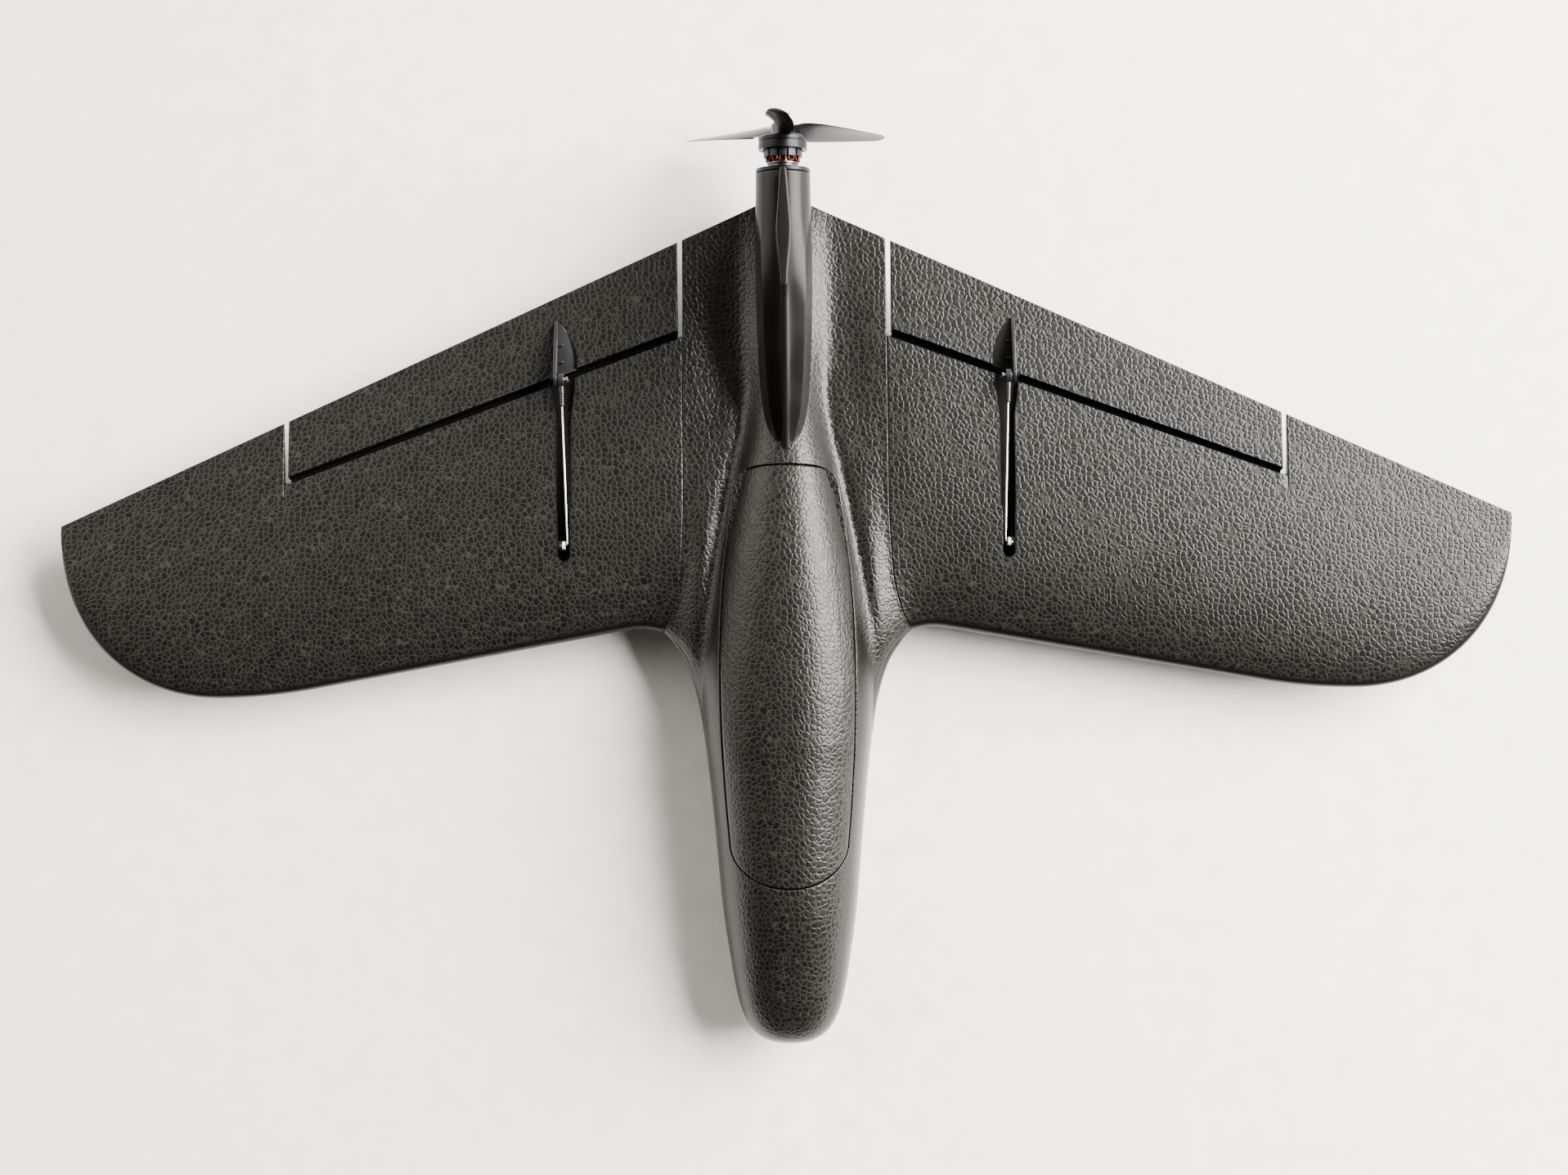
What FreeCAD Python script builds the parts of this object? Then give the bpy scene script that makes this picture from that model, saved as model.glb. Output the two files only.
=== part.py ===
"""Foam pusher flying wing, modelled as its separate pieces, in millimetres.

Row frame: nose towards -Y, propeller towards +Y, +Z up, the left wing towards +X.
The origin is under the middle of the bounding box, on the plane the belly rests on.
"""
import FreeCAD, Part
import math
import os
import Sketcher

from FreeCAD import Placement, Rotation, Vector

DIMENSIONS = [
    # wing planform
    ("half_span", 422.2), ("tip_centre_x", 329.0), ("tip_centre_y", 31.0),
    ("tip_depth", 96.3), ("tip_power", 2.15), ("tip_blend_x", 275.0),
    ("trailing_y", 225.5), ("trailing_slope", 0.4498),
    ("leading_y", -11.8), ("leading_slope", 0.177),
    ("wing_plane_z", 34.0), ("edge_half_thickness", 0.6),
    ("upper_bulge", 0.133), ("lower_bulge", 12.5), ("lower_bulge_chord", 158.0),
    # seam between centre section and wing panel
    ("seam_x", 59.3), ("seam_gap", 0.1),
    # elevons
    ("hinge_y", 165.8), ("hinge_slope", 0.363), ("hinge_z", 31.3),
    ("elevon_inner_x", 61.9), ("elevon_outer_x", 289.1), ("elevon_end_gap", 2.4),
    ("hinge_strip_width", 1.0), ("hinge_strip_top", 0.5), ("groove_angle", 9.5),
    # fuselage
    ("nose_y", -268.6), ("nose_round_y", -228.0), ("nose_power_y", 3.5), ("nose_power_z", 2.6),
    # hatch and battery bay
    ("hatch_widest_y", -50.0), ("hatch_half_width", 38.4), ("hatch_rear_y", 65.0),
    ("hatch_front_y", -175.0), ("hatch_gap", 0.5), ("hatch_corner_y", 52.0), ("hatch_rear_half", 17.0),
    ("hatch_seat_z", 58.0), ("hatch_seat_gap", 0.3), ("hatch_hollow_z", 66.0), ("hatch_wall", 9.0),
    ("bay_half_width", 25.0), ("bay_front_y", -150.0), ("bay_rear_y", 36.0), ("bay_floor_z", 12.0),
    ("bay_corner", 8.0), ("magnet_radius", 4.0), ("magnet_thickness", 2.5),
    ("hatch_magnet_y", 50.0), ("hatch_magnet_x", 17.0),
    # motor pod and fin
    ("motor_z", 55.0), ("pod_radius", 15.7), ("pod_rear_y", 233.7),
    ("pod_bore_radius", 11.0), ("pod_bore_depth", 8.0), ("pod_foot_z", 41.0), ("pod_rear_foot_y", 215.0),
    ("fin_top_z", 114.0), ("fin_top_front_y", 163.0), ("fin_top_rear_y", 228.0),
    ("fin_root_front_y", 66.0), ("fin_root_rear_y", 231.0), ("fin_thickness", 8.0),
    # motor
    ("mount_radius", 15.65), ("mount_thickness", 2.5), ("mount_hole_radius", 1.6),
    ("mount_hole_circle", 8.0), ("mount_centre_hole", 5.0),
    ("screw_radius", 1.5), ("screw_head_radius", 2.7), ("screw_head_length", 1.8),
    ("base_radius", 9.2), ("base_thickness", 3.6), ("bearing_tube_radius", 5.6),
    ("bearing_radius", 4.5), ("bearing_length", 4.0),
    ("stator_radius", 11.1), ("stator_length", 6.4), ("stator_ring_radius", 7.4),
    ("tooth_count", 12), ("coil_width", 3.9), ("coil_length", 12.2),
    ("bell_radius", 14.0), ("bell_inner_radius", 12.7), ("bell_length", 8.0),
    ("bell_cap", 2.4), ("bell_front_y", 247.0), ("bell_vent_radius", 2.3), ("bell_vent_circle", 9.8),
    ("magnet_inner_radius", 11.7), ("magnet_count", 14),
    ("shaft_radius", 2.5), ("shaft_front_y", 237.5), ("shaft_rear_y", 267.8),
    ("running_clearance", 0.05),
    # propeller
    ("hub_radius", 6.8), ("hub_length", 7.0), ("blade_tip_radius", 67.0), ("blade_lean", 2.6),
    ("blade_count", 3), ("washer_radius", 5.6), ("washer_thickness", 0.9),
    ("nut_across_flats", 8.0), ("nut_length", 5.4),
    # linkage, left side
    ("horn_x", 131.4), ("horn_thickness", 2.0), ("ball_x", 129.0), ("ball_y", 117.0),
    ("ball_z", 49.0), ("ball_radius", 2.4), ("bolt_radius", 1.0), ("bolt_head_radius", 1.9),
    ("bolt_head_x", 125.4), ("bolt_head_length", 1.1), ("bolt_end_x", 135.4),
    ("horn_nut_flats", 4.0), ("horn_nut_thickness", 1.6),
    ("link_half_width", 1.7), ("link_radius", 4.0), ("link_shank_radius", 1.3),
    ("link_shank_length", 15.0), ("link_root_radius", 1.55), ("rod_radius", 0.6), ("rod_start", 8.0),
    ("rod_front_x", 126.5), ("rod_front_y", 21.5), ("rod_front_z", 46.3),
    ("bend_end_x", 130.9), ("bend_hook", 1.6),
    ("horn_recess_depth_z", 36.0), ("horn_recess_x", 120.6), ("horn_recess_rear_y", 151.0),
    ("horn_flange", 1.2),
    # servo
    ("servo_y", 21.5), ("servo_z", 33.3), ("arm_x", 127.8),
    ("arm_thickness", 1.7), ("arm_tip_radius", 2.1), ("arm_hub_radius", 3.0), ("arm_hole_radius", 1.0),
    ("servo_x", 133.0), ("servo_length", 22.5), ("servo_front_y", 15.5), ("servo_rear_y", 38.5),
    ("servo_bottom_z", 28.6), ("servo_top_z", 38.4), ("servo_clearance", 0.3),
    ("arm_screw_radius", 0.9), ("arm_screw_head", 1.7),
    ("cover_thickness", 1.0), ("cover_margin", 3.0),
    # trench over the pushrod
    ("trench_x", 128.5), ("trench_floor_z", 38.0), ("trench_front_y", 12.6),
    ("trench_half_width", 3.4), ("trench_wide_half_width", 4.0), ("trench_flare_half_width", 6.5),
    ("trench_step_y", 36.0), ("trench_step_run", 6.0), ("trench_flare_y", 92.0),
    ("trench_flare_end_y", 113.0), ("trench_rear_y", 125.0), ("servo_slot_z", 29.2),
    ("servo_slot_rear_y", 30.5),
    # spars
    ("spar_y", 45.0), ("spar_z", 33.0), ("spar_radius", 4.0), ("spar_reach", 230.0),
    ("rear_spar_y", 100.0), ("rear_spar_z", 35.0), ("rear_spar_radius", 2.5), ("rear_spar_reach", 112.0),
    # equipment in the bay
    ("battery_length", 105.0), ("battery_width", 34.0), ("battery_height", 28.0),
    ("battery_front_y", -125.0),
    ("tray_thickness", 2.0), ("tray_width", 46.0), ("strap_thickness", 1.5), ("strap_width", 18.0),
    ("esc_length", 32.0), ("esc_width", 20.0), ("esc_height", 8.0), ("esc_front_y", -12.0),
    ("receiver_length", 16.0), ("receiver_width", 24.0), ("receiver_height", 7.0),
]

document = FreeCAD.newDocument("FoamWing")
sheet = document.addObject("Spreadsheet::Sheet", "Dimensions")
for row, (alias, number) in enumerate(DIMENSIONS, start=1):
    sheet.set("A%d" % row, alias)
    sheet.set("B%d" % row, repr(number))
    sheet.setAlias("B%d" % row, alias)
document.recompute()

size = {}
for alias, _ in DIMENSIONS:
    size[alias] = float(sheet.get(alias))

# Half-breadth of the fuselage side against Y, from the nose round to the wing's leading edge.
SIDE_LINE = [(-228.0, 33.5), (-190.0, 39.0), (-142.5, 43.2), (-95.0, 48.2), (-66.5, 52.9),
             (-47.5, 58.8), (-38.0, 64.6), (-29.5, 73.0)]
# Leading edge beyond that, out to where it runs straight: (x, y).
FILLET_LINE = [(73.0, -29.5), (85.0, -27.6), (100.0, -29.5), (115.0, -32.2)]
# Half-breadth of the fuselage hump where the wing roots leave it.
HUMP_LINE = [(-95.0, 48.2), (-60.0, 50.0), (0.0, 48.5), (66.0, 38.0), (110.0, 28.0), (150.0, 21.0),
             (200.0, 16.5), (226.0, 15.0)]
# Height of the fuselage top above the wing plane, and depth of its belly below it.
TOP_LINE = [(-228.0, 31.0), (-190.0, 39.5), (-150.0, 44.0), (-100.0, 47.0), (-50.0, 48.0), (0.0, 46.5),
            (40.0, 41.5), (66.0, 35.5), (110.0, 24.0), (150.0, 15.0), (200.0, 6.5), (226.0, 1.0)]
BELLY_LINE = [(-228.0, 28.0), (-190.0, 34.0), (-165.0, 35.0), (60.0, 35.0), (85.0, 32.0), (110.0, 26.5),
              (150.0, 17.0), (200.0, 6.5), (226.0, 1.0)]
# Share of the fin's full thickness against Y: a thin strake that swells into a leaf.
FIN_LINE = [(66.0, 0.3), (150.0, 0.32), (170.0, 0.52), (195.0, 1.0), (212.0, 0.72), (231.0, 0.35)]
NOSE_HALF_WIDTH = (33.5, 26.0)
NOSE_TOP = (31.0, 22.0)
NOSE_BELLY = (28.0, 19.0)
HUMP_POWER_X = 2.4
HUMP_POWER_Z = 1.8
BELLY_POWER_X = 3.0
BELLY_POWER_Z = 2.2
BLEND_POWER = 3.0


def smooth_line(points, where):
    """Monotone cubic curve through (a, b) points, held flat beyond its ends."""
    if where <= points[0][0]:
        return points[0][1]
    if where >= points[-1][0]:
        return points[-1][1]
    slopes = [(q[1] - p[1]) / (q[0] - p[0]) for p, q in zip(points, points[1:])]
    tangents = [slopes[0]]
    for before, after in zip(slopes, slopes[1:]):
        flat = before * after <= 0
        tangents.append(0.0 if flat else 2.0 * before * after / (before + after))
    tangents.append(slopes[-1])
    index = 0
    while where > points[index + 1][0]:
        index += 1
    (a0, b0), (a1, b1) = points[index], points[index + 1]
    width = a1 - a0
    s = (where - a0) / width
    start = b0 * (1 + 2 * s) * (1 - s) ** 2 + tangents[index] * width * s * (1 - s) ** 2
    end = b1 * s * s * (3 - 2 * s) + tangents[index + 1] * width * s * s * (s - 1)
    return start + end


def nose_share(y):
    """How far y is into the rounded nose, 0 to 1, and the size left there."""
    share = (size["nose_round_y"] - y) / (size["nose_round_y"] - size["nose_y"])
    share = min(max(share, 0.0), 1.0)
    left = (1.0 - share ** size["nose_power_y"]) ** (1.0 / size["nose_power_z"])
    return share, left


def nosed(line, ends, y):
    """A fuselage line that closes over the rounded nose."""
    if y >= size["nose_round_y"]:
        return smooth_line(line, y)
    share, left = nose_share(y)
    return (ends[0] + (ends[1] - ends[0]) * share) * left


def trailing_edge(x):
    return size["trailing_y"] - size["trailing_slope"] * abs(x)


def straight_leading_edge(x):
    return size["leading_y"] - size["leading_slope"] * abs(x)


SIDE_LINE_TURNED = [(size["nose_round_y"] - 40.0, 0.0)] + SIDE_LINE
OUTLINE = [(x, y) for y, x in SIDE_LINE_TURNED] + FILLET_LINE[1:]


def leading_edge(x):
    """The whole front outline in plan: fuselage side, root fillet, leading edge and tip."""
    x = abs(x)
    if x < FILLET_LINE[-1][0]:
        return smooth_line(OUTLINE, x)
    blend = size["tip_blend_x"]
    centre = size["tip_centre_x"]
    if x < blend:
        return straight_leading_edge(x)
    if x < centre:
        run = x - blend
        droop = size["leading_slope"] * run * run / (2.0 * (centre - blend))
        return straight_leading_edge(x) + droop
    share = min((x - centre) / (size["half_span"] - centre), 1.0)
    power = size["tip_power"]
    return size["tip_centre_y"] - size["tip_depth"] * (1.0 - share ** power) ** (1.0 / power)


def airfoil(u):
    """Half-thickness shape along the chord, thinned towards the rear for foam elevons."""
    full = 0.2969 * math.sqrt(u) - 0.1260 * u - 0.3516 * u ** 2 + 0.2843 * u ** 3 - 0.1036 * u ** 4
    return 5.0 * max(full, 0.0) * (1.0 - 0.25 * u * u)


def wing_skins(x, y):
    """Heights of the wing above and below the wing plane, both positive."""
    front = leading_edge(x)
    rear = trailing_edge(x)
    u = min(max((y - front) / max(rear - front, 1.0), 0.0), 1.0)
    chord = rear - straight_leading_edge(x)
    if abs(x) > 200.0:
        chord = rear - max(front, straight_leading_edge(x))
    edge = size["edge_half_thickness"] * min(u * 3.0, 1.0)
    upper = size["upper_bulge"] * chord * airfoil(u) + edge
    share = min(chord / size["lower_bulge_chord"], 1.0)
    lower = size["lower_bulge"] * share * airfoil(u) + edge
    return upper, lower


def hump(x, y, line, ends, power_x, power_z):
    """One half of the fuselage's cross-section at x, above or below the wing plane."""
    reach = nosed(SIDE_LINE, NOSE_HALF_WIDTH, y) if y < HUMP_LINE[0][0] else smooth_line(HUMP_LINE, y)
    share = min(abs(x) / max(reach, 0.01), 1.0)
    return nosed(line, ends, y) * (1.0 - share ** power_x) ** (1.0 / power_z)


def body_skins(x, y):
    """Heights of the blended fuselage and wing root above and below the wing plane."""
    upper, lower = wing_skins(x, y)
    top = hump(x, y, TOP_LINE, NOSE_TOP, HUMP_POWER_X, HUMP_POWER_Z)
    belly = hump(x, y, BELLY_LINE, NOSE_BELLY, BELLY_POWER_X, BELLY_POWER_Z)
    if y < HUMP_LINE[0][0]:
        return top, belly
    power = BLEND_POWER
    return (top ** power + upper ** power) ** (1 / power), (belly ** power + lower ** power) ** (1 / power)


def half_breadth(y):
    """Half-breadth of a fuselage section, past the seam where the wing panels start."""
    if y < HUMP_LINE[0][0]:
        return nosed(SIDE_LINE, NOSE_HALF_WIDTH, y)
    inner, outer = 40.0, 78.0
    if leading_edge(outer) < y:
        return outer
    for _ in range(30):
        middle = (inner + outer) / 2
        if leading_edge(middle) < y:
            inner = middle
        else:
            outer = middle
    return inner


def closed_spline(points):
    curve = Part.BSplineCurve()
    curve.interpolate(points, PeriodicFlag=True)
    return Part.Wire([curve.toShape()])


def plan_prism(edges, low, high):
    """A vertical prism over a closed outline drawn at z = 0."""
    face = Part.Face(Part.Wire(edges))
    face.translate(Vector(0, 0, low))
    return face.extrude(Vector(0, 0, high - low))


def polygon_prism(points, low, high):
    corners = [Vector(x, y, 0) for x, y in points]
    return plan_prism(Part.makePolygon(corners + corners[:1]).Edges, low, high)


def box(x0, x1, y0, y1, z0, z1):
    return Part.makeBox(x1 - x0, y1 - y0, z1 - z0, Vector(x0, y0, z0))


def mirrored(shape):
    return shape.mirror(Vector(0, 0, 0), Vector(1, 0, 0))


def feature(label, shape):
    """A sub-part whose curved shape is made with Part's own functions."""
    item = document.addObject("Part::Feature", label)
    item.Shape = shape
    item.Placement = Placement()
    item.Label = label
    return item


def opposite(label, source):
    """The right-hand twin of a left-hand sub-part."""
    item = document.addObject("Part::Mirroring", label)
    item.Source = source
    item.Normal = Vector(1, 0, 0)
    item.Label = label
    return item


# ---------------------------------------------------------------- foam shells
def body_loft():
    """The centre moulding before anything is cut from it."""
    half_count = 27
    stations = [size["nose_y"] + 0.3, -267.5, -266.0, -263.0, -259.0, -253.0, -246.0, -237.0, -228.0,
                -215.0, -200.0, -180.0, -160.0, -135.0, -115.0, -95.0, -82.0, -72.0, -62.0, -54.0, -47.0,
                -41.0, -36.0, -32.0, -28.5, -25.0, -21.0, -16.0, -8.0, 3.0, 18.0, 35.0, 52.0, 66.0, 82.0,
                100.0, 120.0, 145.0, 175.0, 205.0, 226.0]
    sections = []
    for y in stations:
        reach = half_breadth(y)
        top = []
        under = []
        for index in range(half_count):
            x = reach * math.cos(math.pi * (index + 0.5) / half_count)
            up, down = [max(rise, 0.1) for rise in body_skins(x, y)]
            top.append(Vector(x, y, size["wing_plane_z"] + up))
            under.append(Vector(x, y, size["wing_plane_z"] - down))
        sections.append(closed_spline(top + under[::-1]))
    return Part.makeLoft(sections, True, True)


def seam_edges(offset, far_x):
    """Plan outline of all that lies outboard of the left seam, moved out by offset."""
    seam = size["seam_x"] + offset
    curve = Part.BSplineCurve()
    knots = [(seam, 52.0), (seam + 2.2, 4.0), (seam + 6.7, -16.0), (seam + 13.0, -30.0),
             (seam + 17.0, -45.0)]
    curve.interpolate([Vector(x, y, 0) for x, y in knots])
    corners = [(seam + 17.0, -45.0), (seam + 17.0, -90.0), (far_x, -90.0), (far_x, 260.0), (seam, 260.0),
               (seam, 52.0)]
    lines = Part.makePolygon([Vector(x, y, 0) for x, y in corners]).Edges
    return [curve.toShape()] + lines


def wing_loft():
    """The left panel with its elevon, from inside the seam out to the tip."""
    count = 16
    centre = size["tip_centre_x"]
    reach = size["half_span"] - centre
    stations = [56.0, 62.0, 67.0, 72.0, 78.0, 86.0, 96.0, 115.0, 200.0, 275.0, 292.0, 310.0, centre]
    for angle in (10.0, 20.0, 30.0, 40.0, 48.0, 56.0, 63.0, 69.0, 74.0, 79.0, 83.0, 86.0, 88.5):
        stations.append(centre + reach * math.sin(math.radians(angle)))
    sections = []
    for x in stations:
        front = leading_edge(x)
        rear = trailing_edge(x)
        upper = []
        lower = []
        for index in range(count + 1):
            u = (1.0 - math.cos(math.pi * index / count)) / 2.0
            y = front + (rear - front) * u
            up, down = wing_skins(x, y)
            upper.append(Vector(x, y, size["wing_plane_z"] + up))
            lower.append(Vector(x, y, size["wing_plane_z"] - down))
        top = Part.BSplineCurve()
        top.interpolate(upper)
        bottom = Part.BSplineCurve()
        bottom.interpolate(lower)
        rear_line = Part.makeLine(upper[-1], lower[-1])
        sections.append(Part.Wire([top.toShape(), rear_line, bottom.toShape()]))
    return Part.makeLoft(sections, True, True)


def hinge_point(x, aft, z):
    """A point near the left hinge line: x along it, aft of it square to it in plan."""
    slope = size["hinge_slope"]
    length = math.hypot(1.0, slope)
    return Vector(x + aft * slope / length, size["hinge_y"] - slope * x + aft / length, z)


def hinge_prism(profile, x0, x1):
    """A bar along the left hinge line; profile is a list of (aft, z)."""
    start = [hinge_point(x0, aft, z) for aft, z in profile]
    face = Part.Face(Part.makePolygon(start + start[:1]))
    return face.extrude(hinge_point(x1, 0, 0) - hinge_point(x0, 0, 0))


def hinge_groove(x0, x1):
    half = size["hinge_strip_width"] / 2
    foot = size["hinge_z"] + size["hinge_strip_top"]
    rise = 20.0
    lean = rise * math.tan(math.radians(size["groove_angle"]))
    profile = [(-half, 20.0), (-half, foot), (-half - lean, foot + rise), (half + lean, foot + rise),
               (half, foot), (half, 20.0)]
    return hinge_prism(profile, x0, x1)


def aft_of_hinge(x0, x1):
    """Plan region from the hinge line to behind the trailing edge."""
    front0 = hinge_point(x0, 0, 0).y
    front1 = hinge_point(x1, 0, 0).y
    return polygon_prism([(x0, front0), (x1, front1), (x1, 260.0), (x0, 260.0)], 15.0, 70.0)


def trench():
    """Slot in the wing's top over the pushrod, with a deeper well for the servo arm."""
    middle = size["trench_x"]
    narrow = size["trench_half_width"]
    wide = size["trench_wide_half_width"]
    flare = size["trench_flare_half_width"]
    round_y = size["trench_front_y"] + narrow
    rear = size["trench_rear_y"]
    widened = size["trench_step_y"] + size["trench_step_run"]
    flared = size["trench_flare_end_y"]
    outline = [(middle - narrow, round_y), (middle - narrow, size["trench_step_y"]),
               (middle - wide, widened), (middle - wide, size["trench_flare_y"]),
               (middle - flare, flared), (middle - flare, rear), (middle + flare, rear),
               (middle + flare, flared), (middle + wide, size["trench_flare_y"]),
               (middle + wide, widened), (middle + narrow, size["trench_step_y"]),
               (middle + narrow, round_y)]
    channel = polygon_prism(outline, size["trench_floor_z"], 70.0)
    nose = Part.makeCylinder(narrow, 70.0 - size["trench_floor_z"],
                             Vector(middle, round_y, size["trench_floor_z"]))
    well_floor = size["servo_slot_z"]
    well = box(middle - narrow, middle + narrow, round_y, size["servo_slot_rear_y"], well_floor, 70.0)
    well_nose = Part.makeCylinder(narrow, 70.0 - well_floor, Vector(middle, round_y, well_floor))
    return channel.fuse([nose, well, well_nose])


def servo_pocket():
    """Room for the servo, open below, and the sunk seat of its cover."""
    gap = size["servo_clearance"]
    x0 = size["servo_x"]
    x1 = x0 + size["servo_length"]
    y0 = size["servo_front_y"]
    y1 = size["servo_rear_y"]
    room = box(x0 - 2.0, x1 + gap, y0 - gap, y1 + gap, 20.0, size["servo_top_z"] + gap)
    margin = size["cover_margin"]
    seat = box(x0 - margin, x1 + margin, y0 - margin, y1 + margin, 20.0, size["servo_bottom_z"] - 0.1)
    return room.fuse(seat)


def horn_recess():
    """D-shaped sink in the elevon's top on the inboard side of the horn plate."""
    straight = size["horn_x"]
    bulge = size["horn_recess_x"]
    rear = size["horn_recess_rear_y"]
    front = hinge_point(bulge, 0, 0).y - 4.0
    curve = Part.BSplineCurve()
    knots = [(straight, rear), (straight - 4.5, rear - 4.5), (bulge + 1.8, rear - 14.0),
             (bulge, rear - 25.0), (bulge, front)]
    curve.interpolate([Vector(x, y, 0) for x, y in knots])
    corners = [Vector(bulge, front, 0), Vector(straight, front, 0), Vector(straight, rear, 0)]
    return [curve.toShape()] + Part.makePolygon(corners).Edges


def hatch_half_width(y):
    """Half-breadth of the hatch outline between its front arc and its rear corners."""
    gain = 0.00084 if y > size["hatch_widest_y"] else 0.00047
    return size["hatch_half_width"] - gain * (y - size["hatch_widest_y"]) ** 2


def hatch_outline(grow):
    """Closed plan outline of the hatch, grown outwards by grow."""
    rear = size["hatch_rear_y"] + grow
    corner_y = size["hatch_corner_y"]
    side = [-150.0, -125.0, -100.0, -75.0, -50.0, -25.0, 0.0, 27.0, corner_y]
    right = [Vector(hatch_half_width(y) + grow, y, 0) for y in side]
    left = [Vector(-p.x, p.y, 0) for p in reversed(right)]
    front = Vector(0, size["hatch_front_y"] - grow, 0)
    quarter = []
    for angle in (20.0, 40.0, 60.0, 75.0):
        turn = math.radians(angle)
        reach_y = right[0].y - front.y
        quarter.append(Vector(right[0].x * math.cos(turn), right[0].y - reach_y * math.sin(turn), 0))
    arc = [left[-1]] + [Vector(-p.x, p.y, 0) for p in quarter] + [front] + quarter[::-1] + [right[0]]
    rear_half = size["hatch_rear_half"]
    corner_in = [Vector(right[-1].x, corner_y, 0), Vector(right[-1].x - 2.4, 60.0 + grow, 0),
                 Vector(rear_half, rear, 0)]
    pieces = []
    for knots in (right, corner_in):
        curve = Part.BSplineCurve()
        curve.interpolate(knots)
        pieces.append(curve.toShape())
    pieces.append(Part.makeLine(Vector(rear_half, rear, 0), Vector(-rear_half, rear, 0)))
    for knots in ([Vector(-p.x, p.y, 0) for p in reversed(corner_in)], left, arc):
        curve = Part.BSplineCurve()
        curve.interpolate(knots)
        pieces.append(curve.toShape())
    return pieces


def pod_loft():
    """Teardrop motor pod: a round back on straight sides that run down into the body."""
    stations = [(67.0, 0.8), (70.0, 2.6), (76.0, 5.6), (83.0, 8.4), (92.0, 11.3), (104.0, 13.5),
                (120.0, 14.9), (145.0, 16.1), (175.0, 16.5), (205.0, 16.2), (222.0, 15.8),
                (size["pod_rear_y"], size["pod_radius"])]
    wires = []
    for y, half in stations:
        top = size["motor_z"] + size["pod_radius"]
        side = top - min(half, size["pod_radius"])
        foot = size["pod_foot_z"] - max(y - size["pod_rear_foot_y"], 0.0) * 0.1
        low = min(foot, side - 0.5)
        ring = [Vector(half, y, low), Vector(half, y, side)]
        crown = Part.Arc(Vector(half, y, side), Vector(0, y, top), Vector(-half, y, side)).toShape()
        down = Part.makeLine(Vector(-half, y, side), Vector(-half, y, low))
        keel = Part.Arc(Vector(-half, y, low), Vector(0, y, low - half * 0.15), Vector(half, y, low))
        wires.append(Part.Wire([Part.makeLine(ring[0], ring[1]), crown, down, keel.toShape()]))
    return Part.makeLoft(wires, True, True)


def fin_loft():
    """Dorsal fin: a leaf-shaped section that shrinks and sweeps back towards the top."""
    wires = []
    top = size["fin_top_z"]
    foot = size["motor_z"] + 8.0
    levels = (0.0, 0.25, 0.5, 0.75, 1.0)
    for level in levels:
        front = size["fin_root_front_y"] + (size["fin_top_front_y"] - size["fin_root_front_y"]) * level
        rear = size["fin_root_rear_y"] + (size["fin_top_rear_y"] - size["fin_root_rear_y"]) * level
        z = foot + (top - foot) * level
        half = []
        for share in (0.004, 0.12, 0.25, 0.38, 0.5, 0.62, 0.74, 0.86, 0.996):
            y = front + (rear - front) * share
            half.append((y, smooth_line(FIN_LINE, y) * size["fin_thickness"] / 2))
        left = [Vector(w, y, z) for y, w in half]
        right = [Vector(-w, y, z) for y, w in reversed(half)]
        wires.append(closed_spline(left + right))
    return Part.makeLoft(wires, True, True)


body_raw = body_loft()
wing_raw = wing_loft()
pod_raw = pod_loft()
motor_axis = Vector(0, 0, size["motor_z"])
pod_bore = Part.makeCylinder(size["pod_bore_radius"], size["pod_bore_depth"] + 5.0,
                             motor_axis + Vector(0, size["pod_rear_y"] - size["pod_bore_depth"], 0),
                             Vector(0, 1, 0))


def spar_hole(y, z, radius, reach):
    return Part.makeCylinder(radius, 2 * reach, Vector(-reach, y, z), Vector(1, 0, 0))


spar_room = spar_hole(size["spar_y"], size["spar_z"], size["spar_radius"], size["spar_reach"])
rear_spar_room = spar_hole(size["rear_spar_y"], size["rear_spar_z"], size["rear_spar_radius"],
                           size["rear_spar_reach"])

outboard = plan_prism(seam_edges(0.0, 500.0), -10.0, 140.0)
behind = polygon_prism([(0, trailing_edge(0)), (90, trailing_edge(90)), (90, 300), (-90, 300),
                        (-90, trailing_edge(90))], -10.0, 70.0)
well_floor_z = size["hatch_seat_z"] - size["hatch_seat_gap"]
hatch_well = plan_prism(hatch_outline(size["hatch_gap"]), well_floor_z, 140.0)
bay_height = size["hatch_seat_z"] + 5.0 - size["bay_floor_z"]
bay = box(-size["bay_half_width"], size["bay_half_width"], size["bay_front_y"], size["bay_rear_y"],
          size["bay_floor_z"], size["bay_floor_z"] + bay_height)
bay_edges = [edge for edge in bay.Edges if abs(edge.tangentAt(edge.FirstParameter).z) > 0.9]
bay = bay.makeFillet(size["bay_corner"], bay_edges)

underground = box(-100, 100, -300, 300, -20, 0)
shell = body_raw.cut([outboard, mirrored(outboard), behind, underground])
magnet_rooms = []
for side in (1, -1):
    base = Vector(side * size["hatch_magnet_x"], size["hatch_magnet_y"], 0)
    low = size["hatch_seat_z"] - size["hatch_seat_gap"] - size["magnet_thickness"]
    magnet_rooms.append(Part.makeCylinder(size["magnet_radius"], size["magnet_thickness"] + 1,
                                          base + Vector(0, 0, low)))
center = shell.cut([hatch_well, bay, pod_raw, spar_room, rear_spar_room] + magnet_rooms)
feature("center_section", center)

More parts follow.
